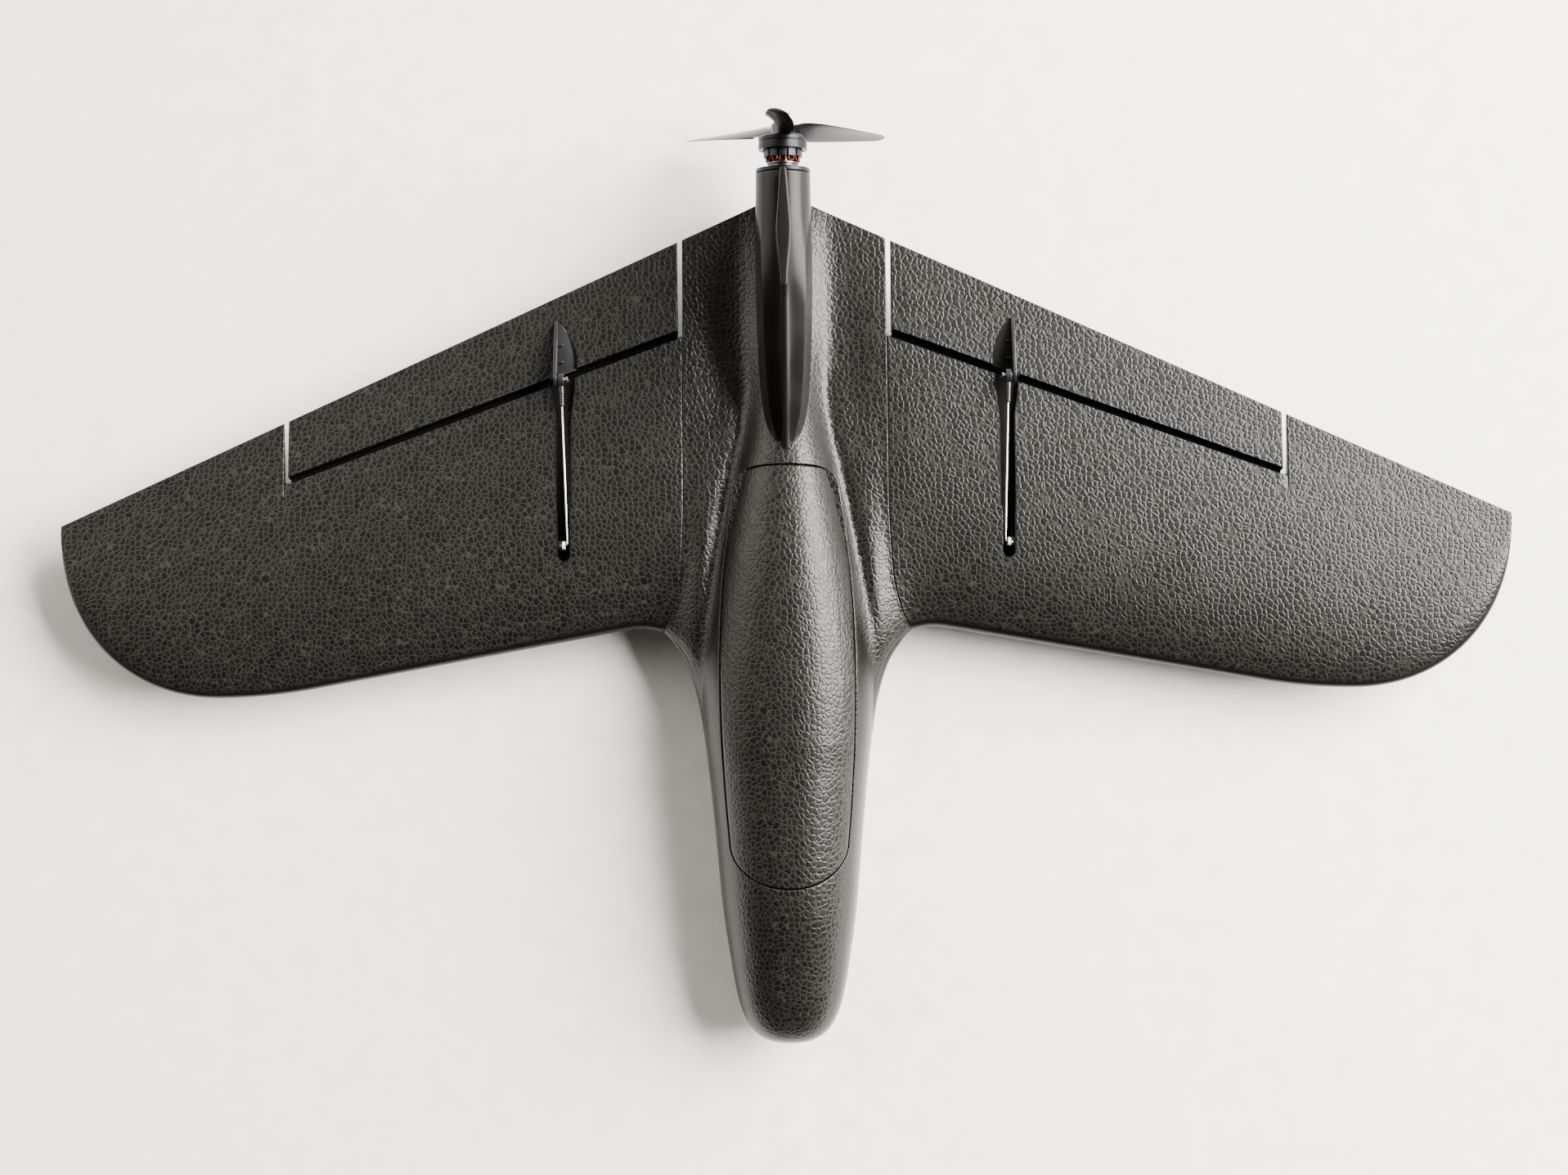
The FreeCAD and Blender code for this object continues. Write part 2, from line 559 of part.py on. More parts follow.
hatch_prism = plan_prism(hatch_outline(0.0), size["hatch_seat_z"], 140.0)
hollow = plan_prism(hatch_outline(-size["hatch_wall"]), size["hatch_seat_z"] - 1, size["hatch_hollow_z"])
hollow = hollow.cut(box(-60, 60, size["bay_rear_y"], 80, 0, 100))
hatch_rooms = []
for side in (1, -1):
    base = Vector(side * size["hatch_magnet_x"], size["hatch_magnet_y"], size["hatch_seat_z"] - 1)
    hatch_rooms.append(Part.makeCylinder(size["magnet_radius"], size["magnet_thickness"] + 1, base))
hatch_shape = body_raw.common(hatch_prism).cut([hollow, pod_raw] + hatch_rooms)
feature("hatch", hatch_shape)

panel = wing_raw.common(plan_prism(seam_edges(size["seam_gap"], 600.0), -10.0, 140.0))
elevon_zone = aft_of_hinge(size["elevon_inner_x"], size["elevon_outer_x"])
groove = hinge_groove(50.0, 320.0)
elevon_raw = panel.common(elevon_zone).cut(groove)
slot_inner = size["seam_x"] - 1.0
slot_outer = size["elevon_outer_x"] + size["elevon_end_gap"]
slot_zone = aft_of_hinge(slot_inner, slot_outer)
groove_zone = hinge_groove(slot_inner - 5.0, slot_outer + 5.0)
groove_zone = groove_zone.common(box(slot_inner, slot_outer, 0, 200, 0, 80))
wing_shape = panel.cut([slot_zone, groove_zone, trench(), servo_pocket(), spar_room, rear_spar_room])
left_wing = feature("left_wing", wing_shape)
opposite("right_wing", left_wing)

half_strip = size["hinge_strip_width"] / 2
strip_bar = hinge_prism([(-half_strip, 20.0), (-half_strip, size["hinge_z"] + size["hinge_strip_top"]),
                         (half_strip - 0.03, size["hinge_z"] + size["hinge_strip_top"]),
                         (half_strip - 0.03, 20.0)],
                        size["elevon_inner_x"] + 0.5, size["elevon_outer_x"] - 0.5)
left_strip = feature("left_hinge_strip", panel.common(strip_bar))
opposite("right_hinge_strip", left_strip)

pod_shape = pod_raw.cut([pod_bore, rear_spar_room])
feature("motor_pod", pod_shape)
ahead_of_fin = box(-20, 20, 50, 78, 40, 120)
feature("dorsal_fin", fin_loft().cut([pod_raw, ahead_of_fin]))


# ---------------------------------------------------------------- bound primitives
def cell(text):
    """Writes cell names in braces out in full, as in {motor_z} / 2."""
    return text.replace("{", "Dimensions.").replace("}", "")


ALONG = {"x": Rotation(Vector(0, 1, 0), 90), "y": Rotation(Vector(1, 0, 0), -90), "z": Rotation()}


def cylinder(label, axis, radius, length, x="0", y="0", z="0"):
    item = document.addObject("Part::Cylinder", label)
    item.Placement = Placement(Vector(), ALONG[axis])
    item.setExpression("Radius", cell(radius))
    item.setExpression("Height", cell(length))
    for name, text in (("x", x), ("y", y), ("z", z)):
        item.setExpression("Placement.Base." + name, cell(text))
    item.Label = label
    return item


def block(label, length, width, height, x="0", y="0", z="0"):
    item = document.addObject("Part::Box", label)
    for name, text in (("Length", length), ("Width", width), ("Height", height)):
        item.setExpression(name, cell(text))
    for name, text in (("x", x), ("y", y), ("z", z)):
        item.setExpression("Placement.Base." + name, cell(text))
    item.Label = label
    return item


def cut(label, base, tool):
    item = document.addObject("Part::Cut", label)
    item.Base = base
    item.Tool = tool
    item.Label = label
    return item


def joined(label, shapes):
    item = document.addObject("Part::MultiFuse", label)
    item.Shapes = shapes
    item.Label = label
    return item


# ---------------------------------------------------------------- sketched bodies
def origin_plane(body, role):
    for plane in body.Origin.OriginFeatures:
        if plane.Role == role:
            return plane
    raise ValueError("no plane " + role)


def sketch_on(body, role, name):
    sketch = body.newObject("Sketcher::SketchObject", name)
    sketch.AttachmentSupport = [(origin_plane(body, role), "")]
    sketch.MapMode = "FlatFace"
    return sketch


def draw_polygon(sketch, points):
    for (x0, y0), (x1, y1) in zip(points, points[1:] + points[:1]):
        sketch.addGeometry(Part.LineSegment(Vector(x0, y0, 0), Vector(x1, y1, 0)))


def draw_circle(sketch, radius_cell, x=0.0, y=0.0):
    index = sketch.addGeometry(Part.Circle(Vector(x, y, 0), Vector(0, 0, 1), size[radius_cell]))
    number = sketch.addConstraint(Sketcher.Constraint("Radius", index, size[radius_cell]))
    sketch.setExpression("Constraints[%d]" % number, "Dimensions." + radius_cell)
    return index


def pad(body, name, sketch, length):
    item = body.newObject("PartDesign::Pad", name)
    item.Profile = sketch
    item.setExpression("Length", cell(length))
    return item


def through_pocket(body, name, sketch):
    item = body.newObject("PartDesign::Pocket", name)
    item.Profile = sketch
    item.Type = "ThroughAll"
    item.Midplane = True
    return item


def polar(body, name, original, axis_sketch, count):
    item = body.newObject("PartDesign::PolarPattern", name)
    item.Originals = [original]
    item.Axis = (axis_sketch, ["N_Axis"])
    item.Angle = 360.0
    item.Occurrences = count
    body.Tip = item
    return item


def motor_mount():
    """Round plate glued into the pod's end; a sketch's Y axis is up, and it pads along -Y."""
    body = document.addObject("PartDesign::Body", "motor_mount")
    body.Label = "motor_mount"
    outline = sketch_on(body, "XZ_Plane", "mount_outline")
    draw_circle(outline, "mount_radius")
    draw_circle(outline, "mount_centre_hole")
    plate = pad(body, "mount_plate", outline, "{mount_thickness}")
    plate.Reversed = True
    document.recompute()
    drill = sketch_on(body, "XZ_Plane", "mount_hole")
    draw_circle(drill, "mount_hole_radius", size["mount_hole_circle"], 0.0)
    hole = through_pocket(body, "mount_screw_hole", drill)
    polar(body, "mount_screw_holes", hole, drill, 4)
    body.Placement.Base = Vector(0, size["pod_rear_y"], size["motor_z"])
    return body


def motor_bell():
    """Steel bell: a cup turned about the shaft, with a ring of vents in its cap."""
    body = document.addObject("PartDesign::Body", "motor_bell")
    body.Label = "motor_bell"
    section = sketch_on(body, "XY_Plane", "bell_section")
    length = size["bell_length"]
    cap = length - size["bell_cap"]
    outer = size["bell_radius"]
    inner = size["bell_inner_radius"]
    bore = size["shaft_radius"]
    bevel = 0.9
    draw_polygon(section, [(inner, 0.0), (outer, 0.0), (outer, length - bevel), (outer - bevel, length),
                           (bore, length), (bore, cap), (inner, cap)])
    turned = body.newObject("PartDesign::Revolution", "bell_turned")
    turned.Profile = section
    turned.ReferenceAxis = (section, ["V_Axis"])
    turned.Angle = 360.0
    document.recompute()
    vent = sketch_on(body, "XZ_Plane", "bell_vent")
    draw_circle(vent, "bell_vent_radius", size["bell_vent_circle"], 0.0)
    hole = through_pocket(body, "bell_vent_hole", vent)
    polar(body, "bell_vents", hole, vent, 6)
    body.Placement.Base = Vector(0, size["bell_front_y"], size["motor_z"])
    return body


def hexagon(flats):
    radius = flats / math.sqrt(3.0)
    turns = [math.radians(60 * k) for k in range(6)]
    return [(radius * math.cos(turn), radius * math.sin(turn)) for turn in turns]


def hex_nut(label, flats, hole_cell, length, plane, base):
    body = document.addObject("PartDesign::Body", label)
    body.Label = label
    outline = sketch_on(body, plane, label + "_outline")
    draw_polygon(outline, hexagon(flats))
    draw_circle(outline, hole_cell)
    solid = pad(body, label + "_pad", outline, length)
    solid.Reversed = plane == "XZ_Plane"
    body.Placement.Base = base
    return body


motor_mount()
motor_bell()
hub_front = size["bell_front_y"] + size["bell_length"]
washer_y = hub_front + size["hub_length"]
nut_y = washer_y + size["washer_thickness"]
hex_nut("prop_nut", size["nut_across_flats"], "shaft_radius", "{nut_length}", "XZ_Plane",
        Vector(0, nut_y, size["motor_z"]))

washer = cylinder("washer_disc", "y", "{washer_radius}", "{washer_thickness}",
                  y="{bell_front_y} + {bell_length} + {hub_length}", z="{motor_z}")
washer_hole = cylinder("washer_hole", "y", "{shaft_radius}", "{washer_thickness}",
                       y="{bell_front_y} + {bell_length} + {hub_length}", z="{motor_z}")
cut("prop_washer", washer, washer_hole)
cylinder("motor_shaft", "y", "{shaft_radius}", "{shaft_rear_y} - {shaft_front_y}", y="{shaft_front_y}",
         z="{motor_z}")

base_disc = cylinder("base_disc", "y", "{base_radius}", "{base_thickness}",
                     y="{pod_rear_y} + {mount_thickness}", z="{motor_z}")
base_tube = cylinder("base_tube", "y", "{bearing_tube_radius}", "{base_thickness} + {coil_length}",
                     y="{pod_rear_y} + {mount_thickness}", z="{motor_z}")
base_bore = cylinder("base_bore", "y", "{bearing_radius}", "{base_thickness} + {coil_length} + 1",
                     y="{pod_rear_y} + {mount_thickness} + 0.8", z="{motor_z}")
base_solid = joined("base_solid", [base_disc, base_tube])
cut("motor_base", base_solid, base_bore)


def ring_y(outer, inner, length, y):
    solid = Part.makeCylinder(outer, length, motor_axis + Vector(0, y, 0), Vector(0, 1, 0))
    hole = Part.makeCylinder(inner, length, motor_axis + Vector(0, y, 0), Vector(0, 1, 0))
    return solid.cut(hole)


def around_motor(shape, count):
    """Copies of a shape spaced evenly round the motor's axis."""
    copies = []
    for index in range(int(count)):
        copy = shape.copy()
        copy.rotate(motor_axis, Vector(0, 1, 0), 360.0 * index / count)
        copies.append(copy)
    return copies


base_y = size["pod_rear_y"] + size["mount_thickness"]
bearing_inner = size["shaft_radius"] + size["running_clearance"]
bearing_front = base_y + 1.4
bearing_rear = base_y + size["base_thickness"] + size["coil_length"] - size["bearing_length"]
bearings = []
for y in (bearing_front, bearing_rear):
    bearings.append(ring_y(size["bearing_radius"], bearing_inner, size["bearing_length"], y))
feature("motor_bearings", Part.makeCompound(bearings))

coil_front = base_y + size["base_thickness"] + 0.1
stator_front = coil_front + (size["coil_length"] - size["stator_length"]) / 2
tooth_width = 1.7
shoe_width = 4.6
tooth = box(-tooth_width / 2, tooth_width / 2, stator_front, stator_front + size["stator_length"],
            size["motor_z"] + size["stator_ring_radius"] - 0.5,
            size["motor_z"] + size["stator_radius"] - 0.3)
shoe_inner = size["stator_radius"] - 0.8
shoe_ring = ring_y(size["stator_radius"], shoe_inner, size["stator_length"], stator_front)
shoe = shoe_ring.common(box(-shoe_width / 2, shoe_width / 2, 0, 300, size["motor_z"], 200))
core = ring_y(size["stator_ring_radius"], size["bearing_tube_radius"], size["stator_length"], stator_front)
core = core.fuse(around_motor(tooth, size["tooth_count"]) + around_motor(shoe, size["tooth_count"]))
feature("stator_core", core)

coil_low = size["motor_z"] + size["stator_ring_radius"] + 0.1
coil_high = size["motor_z"] + size["stator_radius"] - 1.2
coil = box(-size["coil_width"] / 2, size["coil_width"] / 2, coil_front, coil_front + size["coil_length"],
           coil_low, coil_high)
coil_edges = [edge for edge in coil.Edges if abs(edge.tangentAt(edge.FirstParameter).z) > 0.9]
coil = coil.makeFillet(1.4, coil_edges)
coil = coil.cut(tooth)
feature("stator_windings", Part.makeCompound(around_motor(coil, size["tooth_count"])))

magnet_length = size["bell_length"] - size["bell_cap"] - 0.6
magnet_ring = ring_y(size["bell_inner_radius"], size["magnet_inner_radius"], magnet_length,
                     size["bell_front_y"] + 0.3)
magnet_slot_half = 2.4
magnet = magnet_ring.common(box(-magnet_slot_half, magnet_slot_half, 0, 300, size["motor_z"], 200))
feature("motor_magnets", Part.makeCompound(around_motor(magnet, size["magnet_count"])))

screw_head_y = size["pod_rear_y"] - size["screw_head_length"]
screw_at = Vector(size["mount_hole_circle"], 0, size["motor_z"])
screw_length = size["screw_head_length"] + size["mount_thickness"]
screw = Part.makeCylinder(size["screw_radius"], screw_length, screw_at + Vector(0, screw_head_y, 0),
                          Vector(0, 1, 0))
screw_head = Part.makeCylinder(size["screw_head_radius"], size["screw_head_length"],
                               screw_at + Vector(0, screw_head_y, 0), Vector(0, 1, 0))
feature("mount_screws", Part.makeCompound(around_motor(screw.fuse(screw_head), 4)))


def blade_section(radius):
    """Cambered section of the blade that points up, as a closed curve."""
    share = radius / size["blade_tip_radius"]
    chords = [(0.10, 10.0), (0.22, 15.5), (0.40, 17.6), (0.60, 16.8), (0.80, 13.4), (0.93, 9.6), (1.0, 6.6)]
    pitches = [(0.10, 42.0), (0.22, 34.0), (0.40, 25.0), (0.60, 18.0), (0.80, 14.0), (1.0, 11.0)]
    chord = smooth_line(chords, share)
    pitch = math.radians(smooth_line(pitches, share))
    thick = 2.3 - 1.5 * share
    outline = []
    for angle in range(0, 360, 30):
        turn = math.radians(angle)
        along = chord / 2 * math.cos(turn)
        camber = 0.06 * chord * (1.0 - (2 * along / chord) ** 2)
        across = camber + thick / 2 * math.sin(turn) * (1.0 if abs(math.sin(turn)) > 0.1 else 0.5)
        x = along * math.cos(pitch) + across * math.sin(pitch)
        y = -along * math.sin(pitch) + across * math.cos(pitch)
        outline.append(Vector(x, hub_front + size["hub_length"] / 2 + y, size["motor_z"] + radius))
    return closed_spline(outline)


def propeller():
    radii = [3.5, 7.5, 12.0, 18.0, 26.0, 36.0, 46.0, 56.0, 63.0, 66.0, size["blade_tip_radius"]]
    blade = Part.makeLoft([blade_section(radius) for radius in radii], True, False)
    room = size["hub_length"]
    slab = box(-100, 100, hub_front + 0.05, washer_y - 0.05, -100, 300)
    root = blade.common(slab)
    outer = blade.common(box(-100, 100, 0, 400, size["motor_z"] + size["hub_radius"] + 2, 300))
    bell_reach = Part.makeCylinder(size["bell_radius"] + 0.8, 100.0,
                                   motor_axis + Vector(0, hub_front - 99.6, 0), Vector(0, 1, 0))
    blade = root.fuse(outer.cut(bell_reach))
    hub = Part.makeCylinder(size["hub_radius"], room, motor_axis + Vector(0, hub_front, 0), Vector(0, 1, 0))
    whole = hub.fuse(around_motor(blade, size["blade_count"]))
    bore = Part.makeCylinder(size["shaft_radius"], room, motor_axis + Vector(0, hub_front, 0),
                             Vector(0, 1, 0))
    whole = whole.cut(bore)
    whole.rotate(motor_axis, Vector(0, 1, 0), -size["blade_lean"])
    return whole


feature("propeller", propeller())

# ---------------------------------------------------------------- spars and equipment
for label, prefix in (("main_spar", "spar"), ("rear_spar", "rear_spar")):
    rod = cylinder(label + "_rod", "x", "{%s_radius}" % prefix, "2 * {%s_reach}" % prefix,
                   x="-{%s_reach}" % prefix, y="{%s_y}" % prefix, z="{%s_z}" % prefix)
    bore = cylinder(label + "_bore", "x", "{%s_radius} * 0.7" % prefix, "2 * {%s_reach}" % prefix,
                    x="-{%s_reach}" % prefix, y="{%s_y}" % prefix, z="{%s_z}" % prefix)
    cut(label, rod, bore)

tray_body = document.addObject("PartDesign::Body", "battery_tray")
tray_body.Label = "battery_tray"
tray_sketch = sketch_on(tray_body, "XY_Plane", "tray_outline")
tray_half = size["tray_width"] / 2
tray_front = size["bay_front_y"] + 4.0
tray_rear = size["bay_rear_y"] - 4.0
chamfer = 6.0
draw_polygon(tray_sketch, [(-tray_half + chamfer, tray_front), (tray_half - chamfer, tray_front),
                           (tray_half, tray_front + chamfer), (tray_half, tray_rear - chamfer),
                           (tray_half - chamfer, tray_rear), (-tray_half + chamfer, tray_rear),
                           (-tray_half, tray_rear - chamfer), (-tray_half, tray_front + chamfer)])
pad(tray_body, "tray_pad", tray_sketch, "{tray_thickness}")
tray_body.setExpression("Placement.Base.z", "Dimensions.bay_floor_z")

tray_top_text = "{bay_floor_z} + {tray_thickness}"
battery_lift = "{strap_thickness}"
battery_box = block("battery_block", "{battery_width}", "{battery_length}", "{battery_height}",
                    x="-{battery_width} / 2", y="{battery_front_y}", z=tray_top_text + " + " + battery_lift)
battery = document.addObject("Part::Fillet", "battery")
battery.Base = battery_box
document.recompute()
battery.Edges = [(index + 1, 3.0, 3.0) for index in range(len(battery_box.Shape.Edges))]
battery.Label = "battery"

strap_outer = block("strap_outer", "{battery_width} + 2 * {strap_thickness}", "{strap_width}",
                    "{battery_height} + 2 * {strap_thickness}",
                    x="-{battery_width} / 2 - {strap_thickness}",
                    y="{battery_front_y} + {battery_length} / 2 - {strap_width} / 2", z=tray_top_text)
strap_inner = block("strap_inner", "{battery_width}", "{strap_width}", "{battery_height}",
                    x="-{battery_width} / 2",
                    y="{battery_front_y} + {battery_length} / 2 - {strap_width} / 2",
                    z=tray_top_text + " + {strap_thickness}")
cut("battery_strap", strap_outer, strap_inner)

block("speed_controller", "{esc_width}", "{esc_length}", "{esc_height}", x="-{esc_width} / 2",
      y="{esc_front_y}", z=tray_top_text)
block("receiver", "{receiver_width}", "{receiver_length}", "{receiver_height}", x="-{receiver_width} / 2",
      y="{esc_front_y} + ({esc_length} - {receiver_length}) / 2",
      z=tray_top_text + " + {esc_height}")

fuselage_magnets = []
hatch_magnets = []
for side in (1, -1):
    at = Vector(side * size["hatch_magnet_x"], size["hatch_magnet_y"], 0)
    low = size["hatch_seat_z"] - size["hatch_seat_gap"] - size["magnet_thickness"]
    fuselage_magnets.append(Part.makeCylinder(size["magnet_radius"], size["magnet_thickness"],
                                              at + Vector(0, 0, low)))
    hatch_magnets.append(Part.makeCylinder(size["magnet_radius"], size["magnet_thickness"],
                                           at + Vector(0, 0, size["hatch_seat_z"])))
feature("fuselage_magnets", Part.makeCompound(fuselage_magnets))
feature("hatch_magnets", Part.makeCompound(hatch_magnets))


# ---------------------------------------------------------------- control linkage, left side
def horn_shape():
    """Horn: an upright plate with a D-shaped foot that sits in the elevon's recess."""
    ball = Vector(size["horn_x"], size["ball_y"], size["ball_z"])
    foot = size["horn_recess_depth_z"]
    side = [(size["horn_recess_rear_y"] + 1.0, foot), (size["horn_recess_rear_y"] + 1.0, foot + 2.6),
            (140.0, 45.8), (128.0, 50.3), (121.0, 52.6)]
    plate = [Vector(size["horn_x"], y, z) for y, z in side]
    crown = Part.Arc(plate[-1], Vector(ball.x, 116.0, ball.z + 4.1), Vector(ball.x, 112.9, ball.z - 0.6))
    lower = [Vector(ball.x, 112.9, ball.z - 0.6), Vector(ball.x, 121.5, 42.0), Vector(ball.x, 122.0, foot),
             plate[0]]
    edges = Part.makePolygon(plate).Edges + [crown.toShape()] + Part.makePolygon(lower).Edges
    upright = Part.Face(Part.Wire(edges)).extrude(Vector(size["horn_thickness"], 0, 0))
    flange = plan_prism(horn_recess(), foot, foot + size["horn_flange"])
    flange = flange.common(aft_of_hinge(100.0, 160.0)).cut(hinge_groove(100.0, 160.0))
    hole = Part.makeCylinder(size["bolt_radius"], 10.0, ball - Vector(2, 0, 0), Vector(1, 0, 0))
    return upright.fuse(flange).cut(hole)


horn = horn_shape()
recess = plan_prism(horn_recess(), size["horn_recess_depth_z"], 70.0)
elevon_shape = elevon_raw.cut([recess, horn])
left_elevon = feature("left_elevon", elevon_shape)
opposite("right_elevon", left_elevon)
left_horn = feature("left_control_horn", horn)
opposite("right_control_horn", left_horn)

ball_at = Vector(size["ball_x"], size["ball_y"], size["ball_z"])


def along_x(radius, x0, x1, at):
    return Part.makeCylinder(radius, x1 - x0, Vector(x0, at.y, at.z), Vector(1, 0, 0))


def ball_bolt():
    """Ball with collars on a small bolt that goes through the horn."""
    ball = Part.makeSphere(size["ball_radius"], ball_at, Vector(1, 0, 0))
    shank = along_x(size["bolt_radius"], size["bolt_head_x"], size["bolt_end_x"], ball_at)
    collar = along_x(size["bolt_radius"] + 0.25, size["bolt_head_x"] + 0.8, size["horn_x"], ball_at)
    head = along_x(size["bolt_head_radius"], size["bolt_head_x"] - size["bolt_head_length"] + 0.8,
                   size["bolt_head_x"] + 0.8, ball_at)
    socket = along_x(0.9, size["bolt_head_x"] - size["bolt_head_length"] + 0.7, size["bolt_head_x"] + 0.3,
                     ball_at)
    return ball.fuse([shank, collar, head]).cut(socket)


left_bolt = feature("left_ball_bolt", ball_bolt())
opposite("right_ball_bolt", left_bolt)

nut_face = size["horn_x"] + size["horn_thickness"]
left_nut = hex_nut("left_horn_nut", size["horn_nut_flats"], "bolt_radius", "{horn_nut_thickness}",
                   "YZ_Plane", Vector(nut_face, size["ball_y"], size["ball_z"]))
opposite("right_horn_nut", left_nut)

rod_end = Vector(size["rod_front_x"], size["rod_front_y"], size["rod_front_z"])
rod_direction = (rod_end - ball_at).normalize()


def ball_link():
    """Plastic link: a ring round the ball and a shank that takes the rod."""
    half = size["link_half_width"]
    ring = along_x(size["link_radius"], size["ball_x"] - half, size["ball_x"] + half, ball_at)
    root = size["link_radius"] - 1.0
    shank = Part.makeCone(size["link_root_radius"], size["link_shank_radius"],
                          size["link_shank_length"] - root, ball_at + rod_direction * root, rod_direction)
    body = ring.fuse(shank)
    socket = Part.makeSphere(size["ball_radius"] + size["running_clearance"], ball_at, Vector(1, 0, 0))
    rod = Part.makeCylinder(size["rod_radius"], 200.0, ball_at + rod_direction * size["rod_start"],
                            rod_direction)
    return body.cut([socket, rod])


left_link = feature("left_ball_link", ball_link())
opposite("right_ball_link", left_link)


def pushrod():
    """Steel rod from the ball link to the servo arm, with a Z bend through the arm's hole."""
    start = ball_at + rod_direction * size["rod_start"]
    rod = Part.makeCylinder(size["rod_radius"], (rod_end - start).Length, start, rod_direction)
    elbow = Part.makeSphere(size["rod_radius"], rod_end)
    leg = along_x(size["rod_radius"], size["rod_front_x"], size["bend_end_x"], rod_end)
    leg_end = Vector(size["bend_end_x"], rod_end.y, rod_end.z)
    knuckle = Part.makeSphere(size["rod_radius"], leg_end)
    hook = Part.makeCylinder(size["rod_radius"], size["bend_hook"], leg_end, Vector(0, -1, 0))
    return rod.fuse([elbow, leg, knuckle, hook])


left_rod = feature("left_pushrod", pushrod())
opposite("right_pushrod", left_rod)

servo_axis = Vector(size["arm_x"], size["servo_y"], size["servo_z"])


def servo_arm():
    """Arm on the servo's output, leaning so that its hole meets the rod's bend."""
    hub = Part.makeCylinder(size["arm_hub_radius"], size["servo_x"] - 0.5 - size["arm_x"], servo_axis,
                            Vector(1, 0, 0))
    tip = Vector(size["arm_x"], rod_end.y, rod_end.z)
    root_half = size["arm_hub_radius"] - 0.3
    tip_half = size["arm_tip_radius"]
    blade = Part.makePolygon([Vector(tip.x, servo_axis.y - root_half, servo_axis.z),
                              Vector(tip.x, tip.y - tip_half, tip.z), Vector(tip.x, tip.y + tip_half, tip.z),
                              Vector(tip.x, servo_axis.y + root_half, servo_axis.z),
                              Vector(tip.x, servo_axis.y - root_half, servo_axis.z)])
    blade = Part.Face(blade).extrude(Vector(size["arm_thickness"], 0, 0))
    eye = Part.makeCylinder(tip_half, size["arm_thickness"], tip, Vector(1, 0, 0))
    hole = Part.makeCylinder(size["arm_hole_radius"], size["arm_thickness"] + 2, tip - Vector(1, 0, 0),
                             Vector(1, 0, 0))
    bore = Part.makeCylinder(size["arm_screw_radius"], 20.0, servo_axis - Vector(1, 0, 0), Vector(1, 0, 0))
    return hub.fuse([blade, eye]).cut([hole, bore])


left_arm = feature("left_servo_arm", servo_arm())
opposite("right_servo_arm", left_arm)

arm_screw_head = Part.makeCylinder(size["arm_screw_head"], 0.9, servo_axis - Vector(0.9, 0, 0),
                                   Vector(1, 0, 0))
arm_screw_shank = Part.makeCylinder(size["arm_screw_radius"], size["servo_x"] - 0.5 - size["arm_x"],
                                    servo_axis, Vector(1, 0, 0))
left_screw = feature("left_arm_screw", arm_screw_head.fuse(arm_screw_shank))
opposite("right_arm_screw", left_screw)

left_servo = block("left_servo", "{servo_length}", "{servo_rear_y} - {servo_front_y}",
                   "{servo_top_z} - {servo_bottom_z}", x="{servo_x}", y="{servo_front_y}",
                   z="{servo_bottom_z}")
opposite("right_servo", left_servo)

left_cover = block("left_servo_cover", "{servo_length} + 2 * {cover_margin} - 0.4",
                   "{servo_rear_y} - {servo_front_y} + 2 * {cover_margin} - 0.4", "{cover_thickness}",
                   x="{servo_x} - {cover_margin} + 0.2", y="{servo_front_y} - {cover_margin} + 0.2",
                   z="{servo_bottom_z} - 0.1 - {cover_thickness}")
opposite("right_servo_cover", left_cover)

NODES = ["center_section", "left_wing", "right_wing", "hatch", "left_elevon", "right_elevon",
         "left_hinge_strip", "right_hinge_strip", "motor_pod", "dorsal_fin", "motor_mount", "mount_screws",
         "motor_base", "motor_bearings", "stator_core", "stator_windings", "motor_bell", "motor_magnets",
         "motor_shaft", "propeller", "prop_washer", "prop_nut", "main_spar", "rear_spar", "battery_tray",
         "battery", "battery_strap", "speed_controller", "receiver", "fuselage_magnets", "hatch_magnets",
         "left_control_horn", "right_control_horn", "left_ball_bolt", "right_ball_bolt", "left_horn_nut",
         "right_horn_nut", "left_ball_link", "right_ball_link", "left_pushrod", "right_pushrod",
         "left_servo_arm", "right_servo_arm", "left_arm_screw", "right_arm_screw", "left_servo",
         "right_servo", "left_servo_cover", "right_servo_cover"]

document.recompute()
for item in document.Objects:
    if "Invalid" in item.State or "Error" in item.State:
        raise RuntimeError("%s failed: %s" % (item.Label, item.State))

os.makedirs("parts", exist_ok=True)
for node in NODES:
    shape = document.getObjectsByLabel(node)[0].Shape
    if shape.isNull() or not shape.isValid():
        raise RuntimeError("%s has no valid shape" % node)
    bounds = shape.BoundBox
    print("%-20s solids %d volume %9.1f  x %7.1f %7.1f  y %7.1f %7.1f  z %6.1f %6.1f"
          % (node, len(shape.Solids), shape.Volume, bounds.XMin, bounds.XMax, bounds.YMin, bounds.YMax,
             bounds.ZMin, bounds.ZMax))
    shape.exportStep("parts/%s.step" % node)
